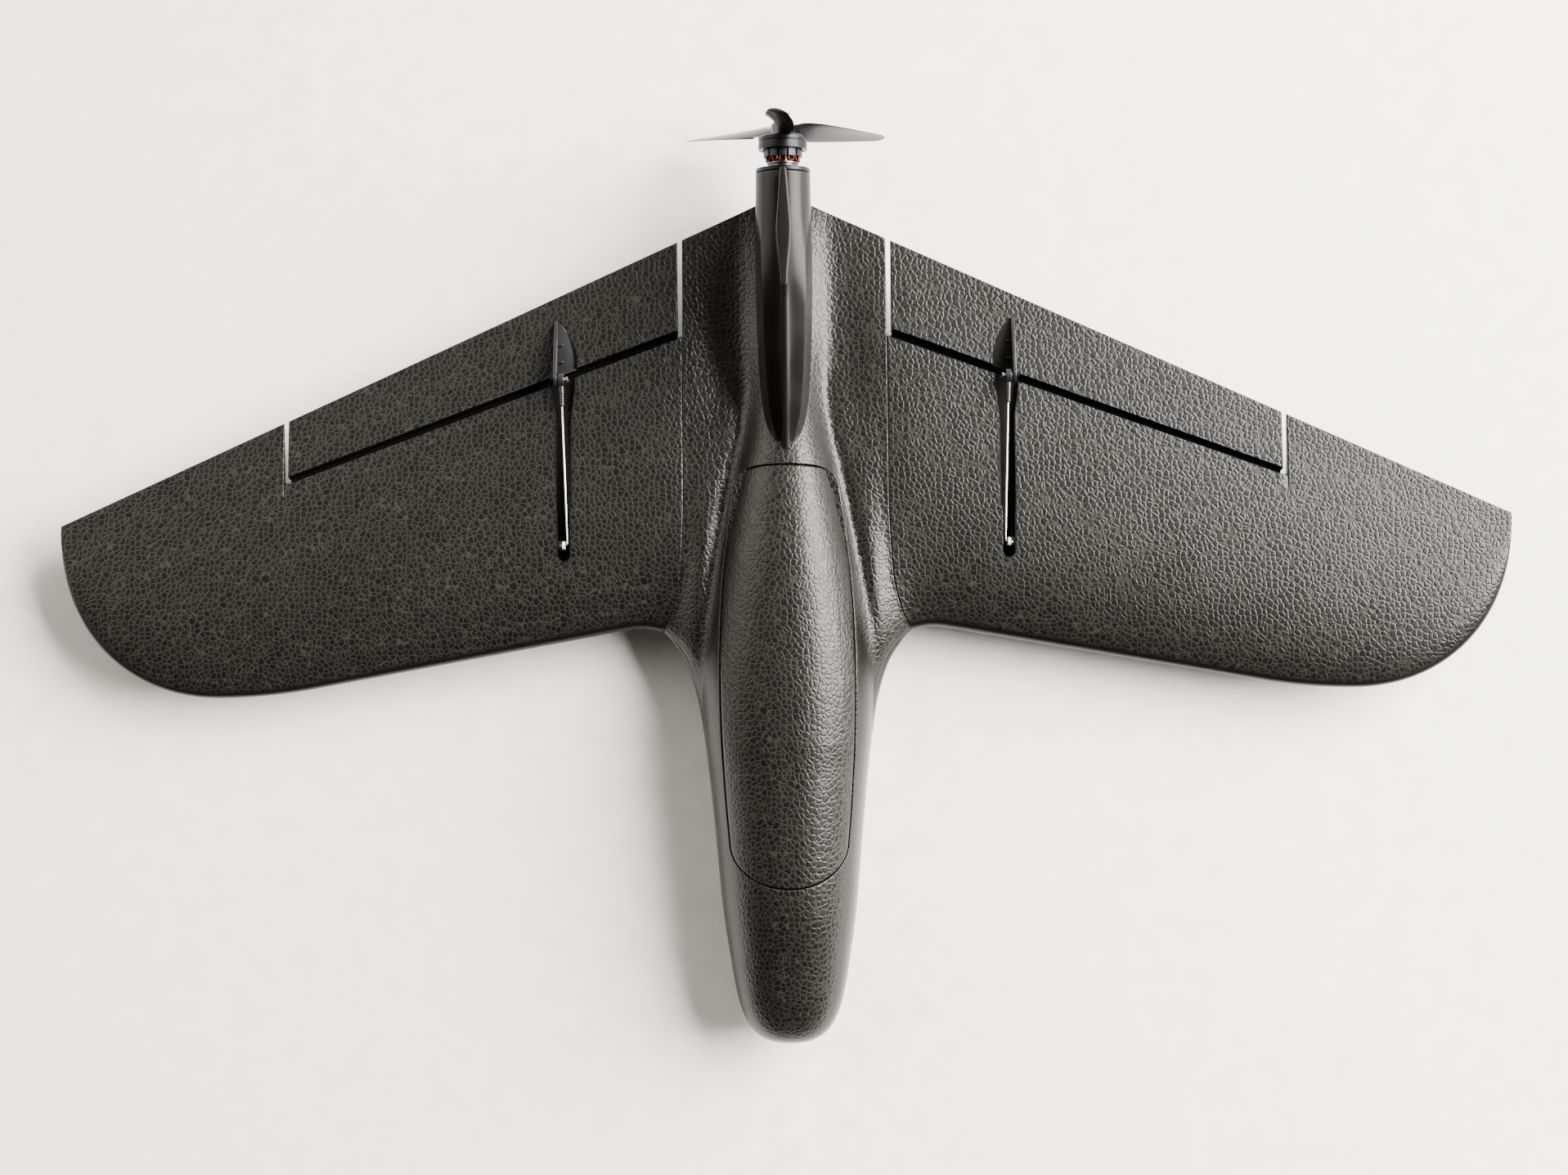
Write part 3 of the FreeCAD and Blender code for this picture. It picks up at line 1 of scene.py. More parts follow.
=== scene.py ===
"""Looks of the foam pusher flying wing: dense foam shells, hardware, materials, light and camera.

Lengths in the shape functions are millimetres in the CAD frame: nose towards -Y, up +Z, left wing +X.
"""
import bmesh
import bpy
import math
import numpy as np
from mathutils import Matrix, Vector


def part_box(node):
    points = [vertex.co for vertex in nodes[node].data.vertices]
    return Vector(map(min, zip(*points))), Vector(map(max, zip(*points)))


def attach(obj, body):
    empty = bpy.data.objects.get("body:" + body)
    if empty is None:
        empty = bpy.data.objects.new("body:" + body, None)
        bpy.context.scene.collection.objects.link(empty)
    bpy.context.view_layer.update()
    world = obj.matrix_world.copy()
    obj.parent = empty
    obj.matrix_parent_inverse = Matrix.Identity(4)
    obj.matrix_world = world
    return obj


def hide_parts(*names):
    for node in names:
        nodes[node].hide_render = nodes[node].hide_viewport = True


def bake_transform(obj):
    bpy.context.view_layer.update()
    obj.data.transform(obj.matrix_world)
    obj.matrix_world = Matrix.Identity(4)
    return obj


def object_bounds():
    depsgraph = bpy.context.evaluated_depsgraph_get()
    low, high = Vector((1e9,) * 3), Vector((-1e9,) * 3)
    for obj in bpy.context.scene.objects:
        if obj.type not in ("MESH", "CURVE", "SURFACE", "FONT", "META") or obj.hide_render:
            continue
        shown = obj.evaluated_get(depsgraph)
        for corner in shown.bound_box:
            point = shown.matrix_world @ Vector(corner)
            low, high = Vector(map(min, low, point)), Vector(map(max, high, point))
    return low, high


MM = 0.001
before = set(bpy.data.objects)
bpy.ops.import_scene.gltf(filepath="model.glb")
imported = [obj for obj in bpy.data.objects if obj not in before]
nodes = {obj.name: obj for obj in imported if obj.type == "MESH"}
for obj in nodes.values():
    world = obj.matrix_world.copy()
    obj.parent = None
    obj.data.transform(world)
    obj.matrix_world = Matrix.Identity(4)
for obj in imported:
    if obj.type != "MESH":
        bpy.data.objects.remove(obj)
cad_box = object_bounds()

# ------------------------------------------------------------------ the airframe's lines
PLANE_Z = 34.0
NOSE_Y = -268.6
NOSE_ROUND_Y = -228.0
NOSE_HALF = (33.5, 26)
FILLET_Y = -95
SIDE_LINE = [(-228, 33.5), (-190, 39), (-142.5, 43.2), (-95, 48.2), (-66.5, 52.9), (-47.5, 58.8),
             (-38, 64.6), (-29.5, 73)]
OUTLINE = [(0, -268), (33.5, -228), (39, -190), (43.2, -142.5), (48.2, -95), (52.9, -66.5), (58.8, -47.5),
           (64.6, -38), (73, -29.5), (85, -27.6), (100, -29.5), (115, -32.2)]
HUMP_LINE = [(-95, 48.2), (-60, 49.8), (-28, 47.5), (8, 42.0), (44, 34.5), (66, 29.5), (90, 26.0),
             (110, 26.0), (150, 29.0), (200, 30.0), (226, 30.0)]
TOP_LINE = [(-228, 31), (-190, 39.5), (-150, 44), (-100, 47), (-50, 48), (0, 46.5), (40, 41.5), (66, 35.5),
            (110, 24), (150, 15), (200, 6.5), (226, 1)]
BELLY_LINE = [(-228, 28), (-190, 34), (-165, 35), (60, 35), (85, 32), (110, 26.5), (150, 17), (200, 6.5),
              (226, 1)]
SEAM_LINE = [(-45, 76.3), (-30, 72.3), (-16, 66), (4, 61.5), (52, 59.3), (60, 59.3)]
# shares of the skin's height taken from either side of a place, to ease its hollows
EASING = [(-5.0, 0.1), (-2.5, 0.24), (0.0, 0.32), (2.5, 0.24), (5.0, 0.1)]
HINGE_SLOPE = 0.363
HINGE_LENGTH = math.hypot(1.0, HINGE_SLOPE)
TAIL_SLOPE = 0.4498
TAIL_SQUARE = 0.91  # distance square to the tail edge, per distance along Y
ROOT_X, ROOT_STRAIGHT_X, FAIRING_X, TIP_START_X = 59.4, 90.0, 115, 329
FRONT_SLOPE = 0.177
FOOT_Z = 31.8
GROOVE_HALF = 0.5
GROOVE_LEAN = math.tan(math.radians(12.5))
ELEVON_X = (61.9, 289.1)
SLOT_X = 291.5
MOTOR_Z = 55.0


def smooth_line(points, where):
    """Monotone cubic curve through (a, b) points, held flat beyond its ends."""
    a, b = np.array(points, float).T
    slopes = np.diff(b) / np.diff(a)
    total = slopes[:-1] + slopes[1:]
    product = slopes[:-1] * slopes[1:]
    inner = np.where(product > 0, 2 * product / np.where(total == 0, 1, total), 0)
    tangents = np.concatenate([slopes[:1], inner, slopes[-1:]])
    where = np.clip(np.asarray(where, float), a[0], a[-1])
    index = np.clip(np.searchsorted(a, where) - 1, 0, len(slopes) - 1)
    width = a[index + 1] - a[index]
    s = (where - a[index]) / width
    start = b[index] * (1 + 2 * s) * (1 - s) ** 2 + tangents[index] * width * s * (1 - s) ** 2
    return start + b[index + 1] * s * s * (3 - 2 * s) + tangents[index + 1] * width * s * s * (s - 1)


def smooth_step(low, high, value):
    """Eases from 0 at low to 1 at high; low may be the larger of the two."""
    s = np.clip((np.asarray(value, float) - low) / (high - low), 0, 1)
    return s * s * (3 - 2 * s)


def nosed(line, ends, y):
    """A fuselage line that closes over the rounded nose."""
    share = np.clip((NOSE_ROUND_Y - y) / (NOSE_ROUND_Y - NOSE_Y), 0, 1)
    left = (1 - share ** 3.5) ** (1 / 3.1)
    return np.where(y >= NOSE_ROUND_Y, smooth_line(line, y), (ends[0] + (ends[1] - ends[0]) * share) * left)


def trailing_edge(x):
    return 225.5 - TAIL_SLOPE * np.abs(x)


def panel_front(x):
    """Y of the leading edge's straight part, carried on to the middle."""
    return -11.8 - FRONT_SLOPE * np.abs(x)


def leading_edge(x):
    """Y of the front edge: faired to the nose, straight along the panel, then round at the tip."""
    x = np.abs(x)
    run = np.clip(x - 275, 0, 54)
    straight = panel_front(x) + FRONT_SLOPE * run * run / 108
    share = np.clip((x - TIP_START_X) / 93.2, 0, 1)
    tip = 31 - 96.3 * (1 - share ** 2.15) ** (1 / 2.15)
    return np.where(x < FAIRING_X, smooth_line(OUTLINE, x), np.where(x < TIP_START_X, straight, tip))


def wing_skins(x, y):
    """Heights of the wing above and below the wing plane, both positive."""
    front, rear, straight = leading_edge(x), trailing_edge(x), panel_front(x)
    u = np.clip((y - front) / np.maximum(rear - front, 1), 0, 1)
    chord = rear - np.where(np.abs(x) > 200, np.maximum(front, straight), straight)
    full = 0.2969 * np.sqrt(u) - 0.126 * u - 0.3516 * u ** 2 + 0.2843 * u ** 3 - 0.1036 * u ** 4
    shape = 5 * np.maximum(full, 0) * (1 - 0.25 * u * u)
    edge = 0.6 * np.minimum(u * 3, 1)
    return 0.133 * chord * shape + edge, 12.5 * np.minimum(chord / 158, 1) * shape + edge


def hump(x, y, line, ends, power_x, power_z):
    """Half of the fuselage's cross-section, above or below the wing plane."""
    reach = np.where(y < FILLET_Y, nosed(SIDE_LINE, NOSE_HALF, y), smooth_line(HUMP_LINE, y))
    share = np.clip(np.abs(x) / np.maximum(reach, 0.01), 0, 1)
    return nosed(line, ends, y) * (1 - share ** power_x) ** (1 / power_z)


def shoulder(x, y):
    """Height of the soft ridge that runs between the hatch and the wing root."""
    x = np.abs(x)
    height, before_foot = 3.9, 4
    foot = smooth_line(HUMP_LINE, y)
    edge = seam(y) - 0.5
    crest = foot + np.minimum(5.0, 0.5 * np.maximum(edge - foot, 0.1))
    rise = smooth_step(0, 1, (x - foot + before_foot) / (crest - foot + before_foot))
    fall = 1 - smooth_step(0, 1, (x - crest) / (edge - crest))
    return height * rise * fall * smooth_step(135, 75, y) * smooth_step(-70, -30, y)


def upper_skin(x, y):
    """Height of the blended fuselage and wing root above the wing plane, before its hollows are eased."""
    upper = wing_skins(x, y)[0] + shoulder(x, y)
    top = hump(x, y, TOP_LINE, (31, 22), 2.4, 1.8 - 1.05 * smooth_step(66, 112, y))
    return (top ** 3 + (smooth_step(-118, -92, y) * upper) ** 3) ** (1 / 3)


def body_skins(x, y):
    """Heights of the blended fuselage and wing root above and below the wing plane."""
    sharp = upper_skin(x, y)
    eased = sum(share * upper_skin(x + shift, y) for shift, share in EASING)
    to_edges = smooth_step(1, 12, seam(y) - np.abs(x)) * smooth_step(0, 16, trailing_edge(x) - y)
    ease = smooth_step(-75, -40, y) * to_edges
    lower = smooth_step(-118, -92, y) * wing_skins(x, y)[1]
    belly = hump(x, y, BELLY_LINE, (28, 19), 3.0, 2.2)
    return sharp + ease * (eased - sharp), (belly ** 3 + lower ** 3) ** (1 / 3)


def round_off(distance, radius):
    """How far a surface drops near its own edge, for an edge rounded to radius."""
    inside = radius - np.clip(distance, 0, radius)
    return radius - np.sqrt(radius ** 2 - inside ** 2)


def tail_drop(x, y):
    """How far a skin drops at the rounded tail edge."""
    return round_off((trailing_edge(x) - y) * TAIL_SQUARE, 0.5)


def seam(y):
    """Distance out to the seam between centre section and wing panel."""
    return smooth_line(SEAM_LINE, y)


def hinge_y(x, aft=0.0):
    """Y on a line parallel to the left hinge line, aft of it by a distance square to it."""
    return 165.8 - HINGE_SLOPE * x + aft * HINGE_LENGTH


# ------------------------------------------------------------------ mesh tools
def points(x, y, z):
    return np.stack(np.broadcast_arrays(x, y, z), -1).astype(float)


def lifted(plan, z):
    """Points at height z over the (x, y) of a line of points."""
    return points(plan[:, 0], plan[:, 1], z)


def crowded(count):
    """Shares from 0 to 1 that lie closer together at both ends."""
    return (1 - np.cos(np.linspace(0, math.pi, count))) / 2


def arc(x, y, radius, turn):
    """Points in plan at angles round a centre."""
    return np.column_stack([x + radius * np.cos(turn), y + radius * np.sin(turn)])


def left_of(ahead):
    """Unit vectors in plan to the left of the steps along a line."""
    return np.column_stack([-ahead[:, 1], ahead[:, 0]]) / np.linalg.norm(ahead, axis=1)[:, None]


def smoothed(line):
    """A line with each inner point moved towards the mean of its neighbours."""
    soft = line.copy()
    soft[1:-1] = (line[:-2] + 2 * line[1:-1] + line[2:]) / 4
    return soft


def both_sides(patches):
    """Each patch followed by its mirror image across the middle plane."""
    return [patch * (side, 1.0, 1.0) for patch in patches for side in (1.0, -1.0)]


def rows_between(first, last, count):
    """Straight rows of points from one line of points to another."""
    s = np.linspace(0, 1, count)[:, None, None]
    return first[None] * (1 - s) + last[None] * s


def resample(line, shares):
    """Points at given shares of a polyline's length."""
    steps = np.linalg.norm(np.diff(line, axis=0), axis=1)
    run = np.concatenate([[0], np.cumsum(steps)])
    at = np.asarray(shares) * run[-1]
    return np.stack([np.interp(at, run, line[:, k]) for k in range(line.shape[1])], -1)


def placed(name, data):
    """A new object in the scene."""
    item = bpy.data.objects.new(name, data)
    bpy.context.scene.collection.objects.link(item)
    return item


def raw_mesh(name, rows, faces):
    mesh = bpy.data.meshes.new(name)
    mesh.from_pydata((np.concatenate(rows) * MM).tolist(), [], faces)
    return mesh


def reworked(mesh, edit):
    """A mesh after an edit of its bmesh."""
    work = bmesh.new()
    work.from_mesh(mesh)
    edit(work)
    work.to_mesh(mesh)
    work.free()
    return mesh


def weld(work, reach, shortest):
    bmesh.ops.remove_doubles(work, verts=work.verts, dist=reach * MM)
    bmesh.ops.dissolve_degenerate(work, edges=work.edges, dist=shortest * MM)


def face_outwards(work):
    bmesh.ops.recalc_face_normals(work, faces=work.faces)


def mesh_of(name, patches, reach=0.02):
    """One closed mesh from grids of points, welded where they meet."""
    verts, faces, base = [], [], 0
    for patch in patches:
        rows, columns = patch.shape[:2]
        index = base + np.arange(rows * columns).reshape(rows, columns)
        quads = np.stack([index[:-1, :-1], index[:-1, 1:], index[1:, 1:], index[1:, :-1]], -1)
        verts.append(patch.reshape(-1, 3))
        faces.append(quads.reshape(-1, 4))
        base += rows * columns

    def close(work):
        weld(work, reach, 0.001)
        face_outwards(work)

    return reworked(raw_mesh(name, verts, np.concatenate(faces).tolist()), close)


def mirrored_mesh(mesh):
    """The right-hand twin of a left-hand mesh."""
    twin = mesh.copy()
    twin.name = "right_" + mesh.name

    def flip(work):
        for vert in work.verts:
            vert.co.x = -vert.co.x
        bmesh.ops.reverse_faces(work, faces=work.faces)

    return reworked(twin, flip)


def paint_beads(mesh, steepest=0.45, flattest=0.75):
    """Marks where the bead pattern shows, by the Z of the normal: none below steepest, all above flattest."""
    normals = np.zeros(len(mesh.vertices) * 3)
    mesh.vertices.foreach_get("normal", normals)
    level = np.abs(normals.reshape(-1, 3)[:, 2])
    mark = mesh.attributes.new("bead", "FLOAT", "POINT")
    mark.data.foreach_set("value", smooth_step(steepest, flattest, level).astype(np.float32))
    return mesh


def finish_piece(name, mesh, slot, body, node, crease=35.0):
    """Puts a finished mesh in the scene in place of a CAD node, riding on its body."""
    mesh.polygons.foreach_set("use_smooth", np.ones(len(mesh.polygons), bool))
    mesh.set_sharp_from_angle(angle=math.radians(crease))
    mesh.materials.clear()
    mesh.materials.append(FINISHES[slot])
    item = placed(name, mesh)
    if body:
        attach(item, body)
    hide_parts(node)
    return item


def finish_pair(label, ending, mesh, slot, body=None, crease=35.0):
    """The left piece and its right twin, each on its own side's body or on the airframe."""
    for side in ("left", "right"):
        shape = mesh if side == "left" else mirrored_mesh(mesh)
        rides = side + "_" + body if body else "airframe"
        finish_piece(side + "_" + label + ending, shape, slot, rides, side + "_" + label, crease)


def carve(mesh, cutters):
    """Cuts closed meshes out of a mesh."""
    item = placed("carving", mesh)
    tools = [placed("cutter", cutter) for cutter in cutters]
    for tool in tools:
        step = item.modifiers.new("cut", "BOOLEAN")
        step.operation, step.solver, step.object = "DIFFERENCE", "EXACT", tool
    bpy.context.view_layer.update()
    seen = item.evaluated_get(bpy.context.evaluated_depsgraph_get())
    result = bpy.data.meshes.new_from_object(seen)
    for used in tools + [item]:
        bpy.data.objects.remove(used)

    def mend(work):
        weld(work, 0.001, 0.0005)
        bmesh.ops.holes_fill(work, edges=[edge for edge in work.edges if edge.is_boundary], sides=12)

    return reworked(result, mend)


def stack_mesh(name, rings):
    """A closed mesh from a stack of closed loops of points, capped at both ends."""
    count = len(rings[0])
    faces = [tuple(range(count))[::-1], tuple(range((len(rings) - 1) * count, len(rings) * count))]
    for k in range(len(rings) - 1):
        for j in range(count):
            a, b = k * count + j, k * count + (j + 1) % count
            faces.append((a, b, b + count, a + count))
    return reworked(raw_mesh(name, rings, faces), face_outwards)


def prism(outline, low, high):
    """A closed upright prism over an outline."""
    return stack_mesh("prism", [lifted(outline, z) for z in (low, high)])


# ------------------------------------------------------------------ finishes
def add(tree, kind, inputs=None, **settings):
    """A shader node with its settings and inputs; an input may be a number or another node's output."""
    item = tree.nodes.new(kind)
    for key, value in settings.items():
        setattr(item, key, value)
    for key, value in (inputs or {}).items():
        if isinstance(value, bpy.types.NodeSocket):
            tree.links.new(value, item.inputs[key])
        else:
            item.inputs[key].default_value = value
    return item


def finish_base(name, uniform):
    """A new material with its uniform values set on the shader's own sockets."""
    material = bpy.data.materials.new(name)
    material.use_nodes = True
    tree = material.node_tree
    shader = tree.nodes["Principled BSDF"]
    for key, value in uniform.items():
        shader.inputs[key].default_value = value
    place = add(tree, "ShaderNodeTexCoord").outputs["Object"]
    return material, tree, shader, place


def shades(tree, factor, dark, light):
    """Colour that runs from dark to light with a factor."""
    ramp = add(tree, "ShaderNodeValToRGB", {"Fac": factor})
    ramp.color_ramp.elements[0].color = (*dark, 1)
    ramp.color_ramp.elements[1].color = (*light, 1)
    return ramp.outputs["Color"]


def span(tree, value, low, high, out_low, out_high, kind="SMOOTHSTEP"):
    """A value remapped from one range to another."""
    item = add(tree, "ShaderNodeMapRange", {"Value": value, "From Min": low, "From Max": high,
                                            "To Min": out_low, "To Max": out_high}, interpolation_type=kind)
    return item.outputs["Result"]


def times(tree, one, other):
    return add(tree, "ShaderNodeMath", {0: one, 1: other}, operation="MULTIPLY").outputs[0]


def plus(tree, one, other):
    return add(tree, "ShaderNodeMath", {0: one, 1: other}, operation="ADD").outputs[0]


def noise(tree, place, scale, detail):
    return add(tree, "ShaderNodeTexNoise", {"Vector": place, "Scale": scale, "Detail": detail}).outputs["Fac"]


def scaled(tint, share):
    return tuple(share * c for c in tint)


def dress(tree, shader, colour, roughness, height, depth):
    """Gives a shader its colour, its roughness and a bump of some depth in metres."""
    tree.links.new(colour, shader.inputs["Base Color"])
    tree.links.new(roughness, shader.inputs["Roughness"])
    bump = add(tree, "ShaderNodeBump", {"Height": height, "Strength": 1.0, "Distance": depth})
    tree.links.new(bump.outputs["Normal"], shader.inputs["Normal"])


def bead_foam(name, tint, gloss, bead_depth):
    """Black moulded bead foam: pillow-shaped beads with paler grooves between, which fade on steep skin."""
    material, tree, shader, place = finish_base(name, {"IOR": 1.5, "Specular IOR Level": 0.26})
    warp = add(tree, "ShaderNodeTexNoise", {"Vector": place, "Scale": 160.0, "Detail": 1.0}).outputs["Color"]
    shift = add(tree, "ShaderNodeVectorMath", {0: warp, 1: (0.0005, 0.0005, 0.0005)}, operation="MULTIPLY")
    bent = add(tree, "ShaderNodeVectorMath", {0: place, 1: shift.outputs[0]}, operation="ADD").outputs[0]
    cells = {"Vector": bent, "Scale": 320.0, "Randomness": 0.85}
    edge = add(tree, "ShaderNodeTexVoronoi", cells, feature="DISTANCE_TO_EDGE").outputs["Distance"]
    cell = add(tree, "ShaderNodeTexVoronoi", cells, feature="F1").outputs["Color"]
    each = add(tree, "ShaderNodeSeparateColor", {"Color": cell}).outputs["Red"]
    bead = add(tree, "ShaderNodeAttribute", attribute_name="bead").outputs["Fac"]
    flat = span(tree, bead, 0.0, 1.0, 1.0, 0.0)
    pillow = times(tree, span(tree, edge, 0.0, 0.24, 0.0, 1.0), span(tree, bead, 0.0, 1.0, 0.06, 1.0))
    height = plus(tree, pillow, times(tree, noise(tree, place, 1500.0, 2.0), 0.10))
    depth = times(tree, span(tree, edge, 0.0, 0.10, 0.0, 1.0), plus(tree, times(tree, each, 0.20), 0.80))
    shown = add(tree, "ShaderNodeMath", {0: depth, 1: flat}, operation="MAXIMUM").outputs[0]
    broad = span(tree, noise(tree, place, 26.0, 4.0), 0.3, 0.7, gloss - 0.015, gloss + 0.025)
    rough = plus(tree, broad, span(tree, flat, 0.0, 1.0, 0.0, -0.06))
    dress(tree, shader, shades(tree, shown, scaled(tint, 7.0), tint), rough, height, bead_depth)
    return material


def moulded(name, tint, gloss, grain_scale=900.0, grain_depth=0.00001, uniform=None):
    """Moulded plastic or skin: a fine grain, faint clouding and slight changes of gloss."""
    material, tree, shader, place = finish_base(name, {"IOR": 1.5, **(uniform or {})})
    grain, broad = noise(tree, place, grain_scale, 3.0), noise(tree, place, 60.0, 3.0)
    dress(tree, shader, shades(tree, broad, scaled(tint, 0.8), tint),
          span(tree, broad, 0.3, 0.7, gloss - 0.04, gloss + 0.05), grain, grain_depth)
    return material


def metal(name, tint, gloss, brushed, scratch_depth=0.000004):
    """Bare metal with fine tool marks drawn out along one axis."""
    material, tree, shader, place = finish_base(name, {"Metallic": 1.0})
    drawn = add(tree, "ShaderNodeMapping", {"Vector": place, "Scale": brushed}).outputs["Vector"]
    marks = noise(tree, drawn, 900.0, 3.0)
    dress(tree, shader, shades(tree, marks, scaled(tint, 0.75), tint),
          span(tree, marks, 0.3, 0.7, gloss - 0.05, gloss + 0.08), marks, scratch_depth)
    return material


def woven(name, dark, light, scale, gloss, axes=(1.0, 1.0, 1.0)):
    """Crossed bands, for carbon cloth, ply and webbing."""
    material, tree, shader, place = finish_base(name, {"IOR": 1.5})
    laid = add(tree, "ShaderNodeMapping", {"Vector": place, "Scale": axes}).outputs["Vector"]
    bands = {"Vector": laid, "Scale": scale, "Distortion": 0.4, "Detail": 1.0}
    check = add(tree, "ShaderNodeTexWave", bands, bands_direction="DIAGONAL").outputs["Fac"]
    dress(tree, shader, shades(tree, check, dark, light), span(tree, check, 0.0, 1.0, gloss + 0.08, gloss),
          check, 0.00008)
    return material


# by the material slot of the piece that wears it
FINISHES = {
    "foam": bead_foam("bead_foam", (0.0030, 0.00285, 0.0026), 0.30, 0.00013),
    "smooth_foam": moulded("smooth_skin", (0.0055, 0.0053, 0.0050), 0.32, 900.0, 0.000008,
                           {"Specular IOR Level": 0.16}),
    "black_plastic": moulded("black_plastic", (0.012, 0.012, 0.013), 0.30),
    "propeller_plastic": moulded("propeller_plastic", (0.010, 0.010, 0.011), 0.14, 500.0, 0.000004),
    "white_plastic": moulded("white_plastic", (0.72, 0.71, 0.68), 0.35),
    "servo_case": moulded("servo_case", (0.025, 0.035, 0.075), 0.22, uniform={"Coat Weight": 0.2}),
    "black_metal": metal("black_metal", (0.020, 0.020, 0.022), 0.36, (1.0, 14.0, 1.0)),
    "dark_steel": metal("dark_steel", (0.028, 0.028, 0.030), 0.36, (1.0, 20.0, 1.0)),
    "bare_aluminium": metal("bare_aluminium", (0.08, 0.08, 0.084), 0.24, (1.0, 12.0, 1.0)),
    "steel": metal("steel", (0.62, 0.61, 0.59), 0.16, (1.0, 0.15, 1.0)),
    "copper": metal("copper", (0.11, 0.020, 0.009), 0.30, (1.0, 6.0, 1.0), 0.00003),
    "carbon": woven("carbon", (0.010, 0.010, 0.011), (0.035, 0.035, 0.038), 220.0, 0.25),
    "plywood": woven("plywood", (0.42, 0.27, 0.14), (0.56, 0.39, 0.23), 30.0, 0.5, (0.3, 1.0, 1.0)),
    "webbing": woven("webbing", (0.012, 0.012, 0.013), (0.040, 0.040, 0.042), 500.0, 0.7),
    "battery_wrap": moulded("battery_wrap", (0.05, 0.10, 0.24), 0.26, 300.0, 0.00004),
}


# ------------------------------------------------------------------ centre section and hatch
HATCH_FRONT_Y, HATCH_FRONT_ROUND = -150.0, 25.0
CORNER_Y, REAR_X = 52.0, 17.0
HATCH_CORNER = [(29.66, CORNER_Y), (29.0, 56.5), (27.26, 60.0), (24.2, 62.6), (20.6, 64.3), (REAR_X, 64.9)]
# points along the front, side, rear corner and rear of the hatch outline
FRONT_COUNT, SIDE_COUNT, CORNER_COUNT, REAR_COUNT = 44, 96, 26, 60
LIP = 0.9
GAP = 0.5
SEAT_Z, HATCH_FOOT_Z = 57.7, 58.0
BAY_HALF, BAY_FRONT, BAY_REAR, BAY_FLOOR_Z, BAY_CORNER = 25.0, -150.0, 36.0, 12.0, 8.0


def hatch_side(y):
    """Half-width of the hatch along its side."""
    gain = np.where(y > -50, 0.00084, 0.00047)
    return 38.4 - gain * (y + 50) ** 2


def hatch_line(gap):
    """Half of the hatch outline in plan, front to rear, moved out by a gap, and its outward normals."""
    turn = np.linspace(0, math.pi / 2, FRONT_COUNT, endpoint=False)
    half = float(hatch_side(HATCH_FRONT_Y))
    front = np.column_stack([half * np.sin(turn), HATCH_FRONT_Y - HATCH_FRONT_ROUND * np.cos(turn)])
    y = np.linspace(HATCH_FRONT_Y, CORNER_Y, SIDE_COUNT, endpoint=False)
    side = np.column_stack([hatch_side(y), y])
    corner = resample(np.array(HATCH_CORNER), np.linspace(0, 1, CORNER_COUNT, endpoint=False))
    rear_x = np.linspace(REAR_X, 0.0, REAR_COUNT)
    rear = np.column_stack([rear_x, 65.9 - (rear_x / REAR_X) ** 2])
    line = np.concatenate([front, side, corner, rear])
    bend = slice(FRONT_COUNT + SIDE_COUNT - 6, -8)
    for _ in range(6):
        line[bend] = smoothed(line)[bend]
    normal = left_of(np.gradient(line, axis=0))
    outward = np.where(normal[FRONT_COUNT][0] > 0, 1.0, -1.0) * normal
    outward[0] = (0, -1)
    outward[-1] = (0, 1)
    return line + outward * gap, outward


def centre_border():
    """The centre section's own outline, point for point across from the hatch outline."""
    y = NOSE_Y + 40.6 * np.linspace(0, 1, 120) ** 2.4
    y = np.concatenate([y, np.linspace(NOSE_ROUND_Y, HATCH_FRONT_Y, 80)[1:]])
    nose = np.column_stack([nosed(SIDE_LINE, NOSE_HALF, y), y])
    front = resample(nose, np.linspace(0, 1, FRONT_COUNT, endpoint=False))
    x_far = np.linspace(48.2, 72.3, 400)
    y = np.linspace(HATCH_FRONT_Y, CORNER_Y, SIDE_COUNT, endpoint=False)
    fillet = np.interp(y, leading_edge(x_far), x_far)
    side_x = np.where(y < FILLET_Y, smooth_line(SIDE_LINE, y), np.where(y < -30, fillet, seam(y)))
    side = np.column_stack([side_x, y])
    edge, corner_end = float(seam(60.0)), 90.0
    seam_count = int(REAR_COUNT * 0.55)
    y = np.concatenate([np.linspace(CORNER_Y, corner_end, CORNER_COUNT, endpoint=False),
                        np.linspace(corner_end, float(trailing_edge(edge)), seam_count, endpoint=False)])
    rear_side = np.column_stack([np.full(len(y), edge), y])
    x = np.linspace(edge, 0.0, REAR_COUNT - seam_count)
    return np.concatenate([front, side, rear_side, np.column_stack([x, trailing_edge(x)])])


def body_height(x, y, sign):
    """Z of the centre section's top (sign 1) or underside (sign -1)."""
    up, down = body_skins(x, y)
    to_seam = np.where(y > -45, seam(y) - np.abs(x), 99.0)
    drop = round_off(to_seam, 0.6) + tail_drop(x, y)
    rise = np.maximum((up if sign > 0 else down) - drop, 0.02)
    if sign > 0:
        return PLANE_Z + rise
    z = PLANE_Z - rise
    return 0.5 * (z + np.sqrt(z * z + 1.0)) - 0.2 * smooth_step(4, -1, z)


def lipped_top(outline, way, far, shares):
    """The body's top from a rounded lip at an outline out to a far line; way points off the gap."""
    grids = []
    for turn in np.radians([0, 18, 36, 54, 72, 90]):
        spot = outline + way * LIP * (1 - math.cos(turn))
        grids.append(lifted(spot, body_height(spot[:, 0], spot[:, 1], 1) - LIP * (1 - math.sin(turn))))
    start = outline + way * LIP
    for share in shares:
        spot = start * (1 - share) + far * share
        grids.append(lifted(spot, body_height(spot[:, 0], spot[:, 1], 1)))
    return np.stack(grids)


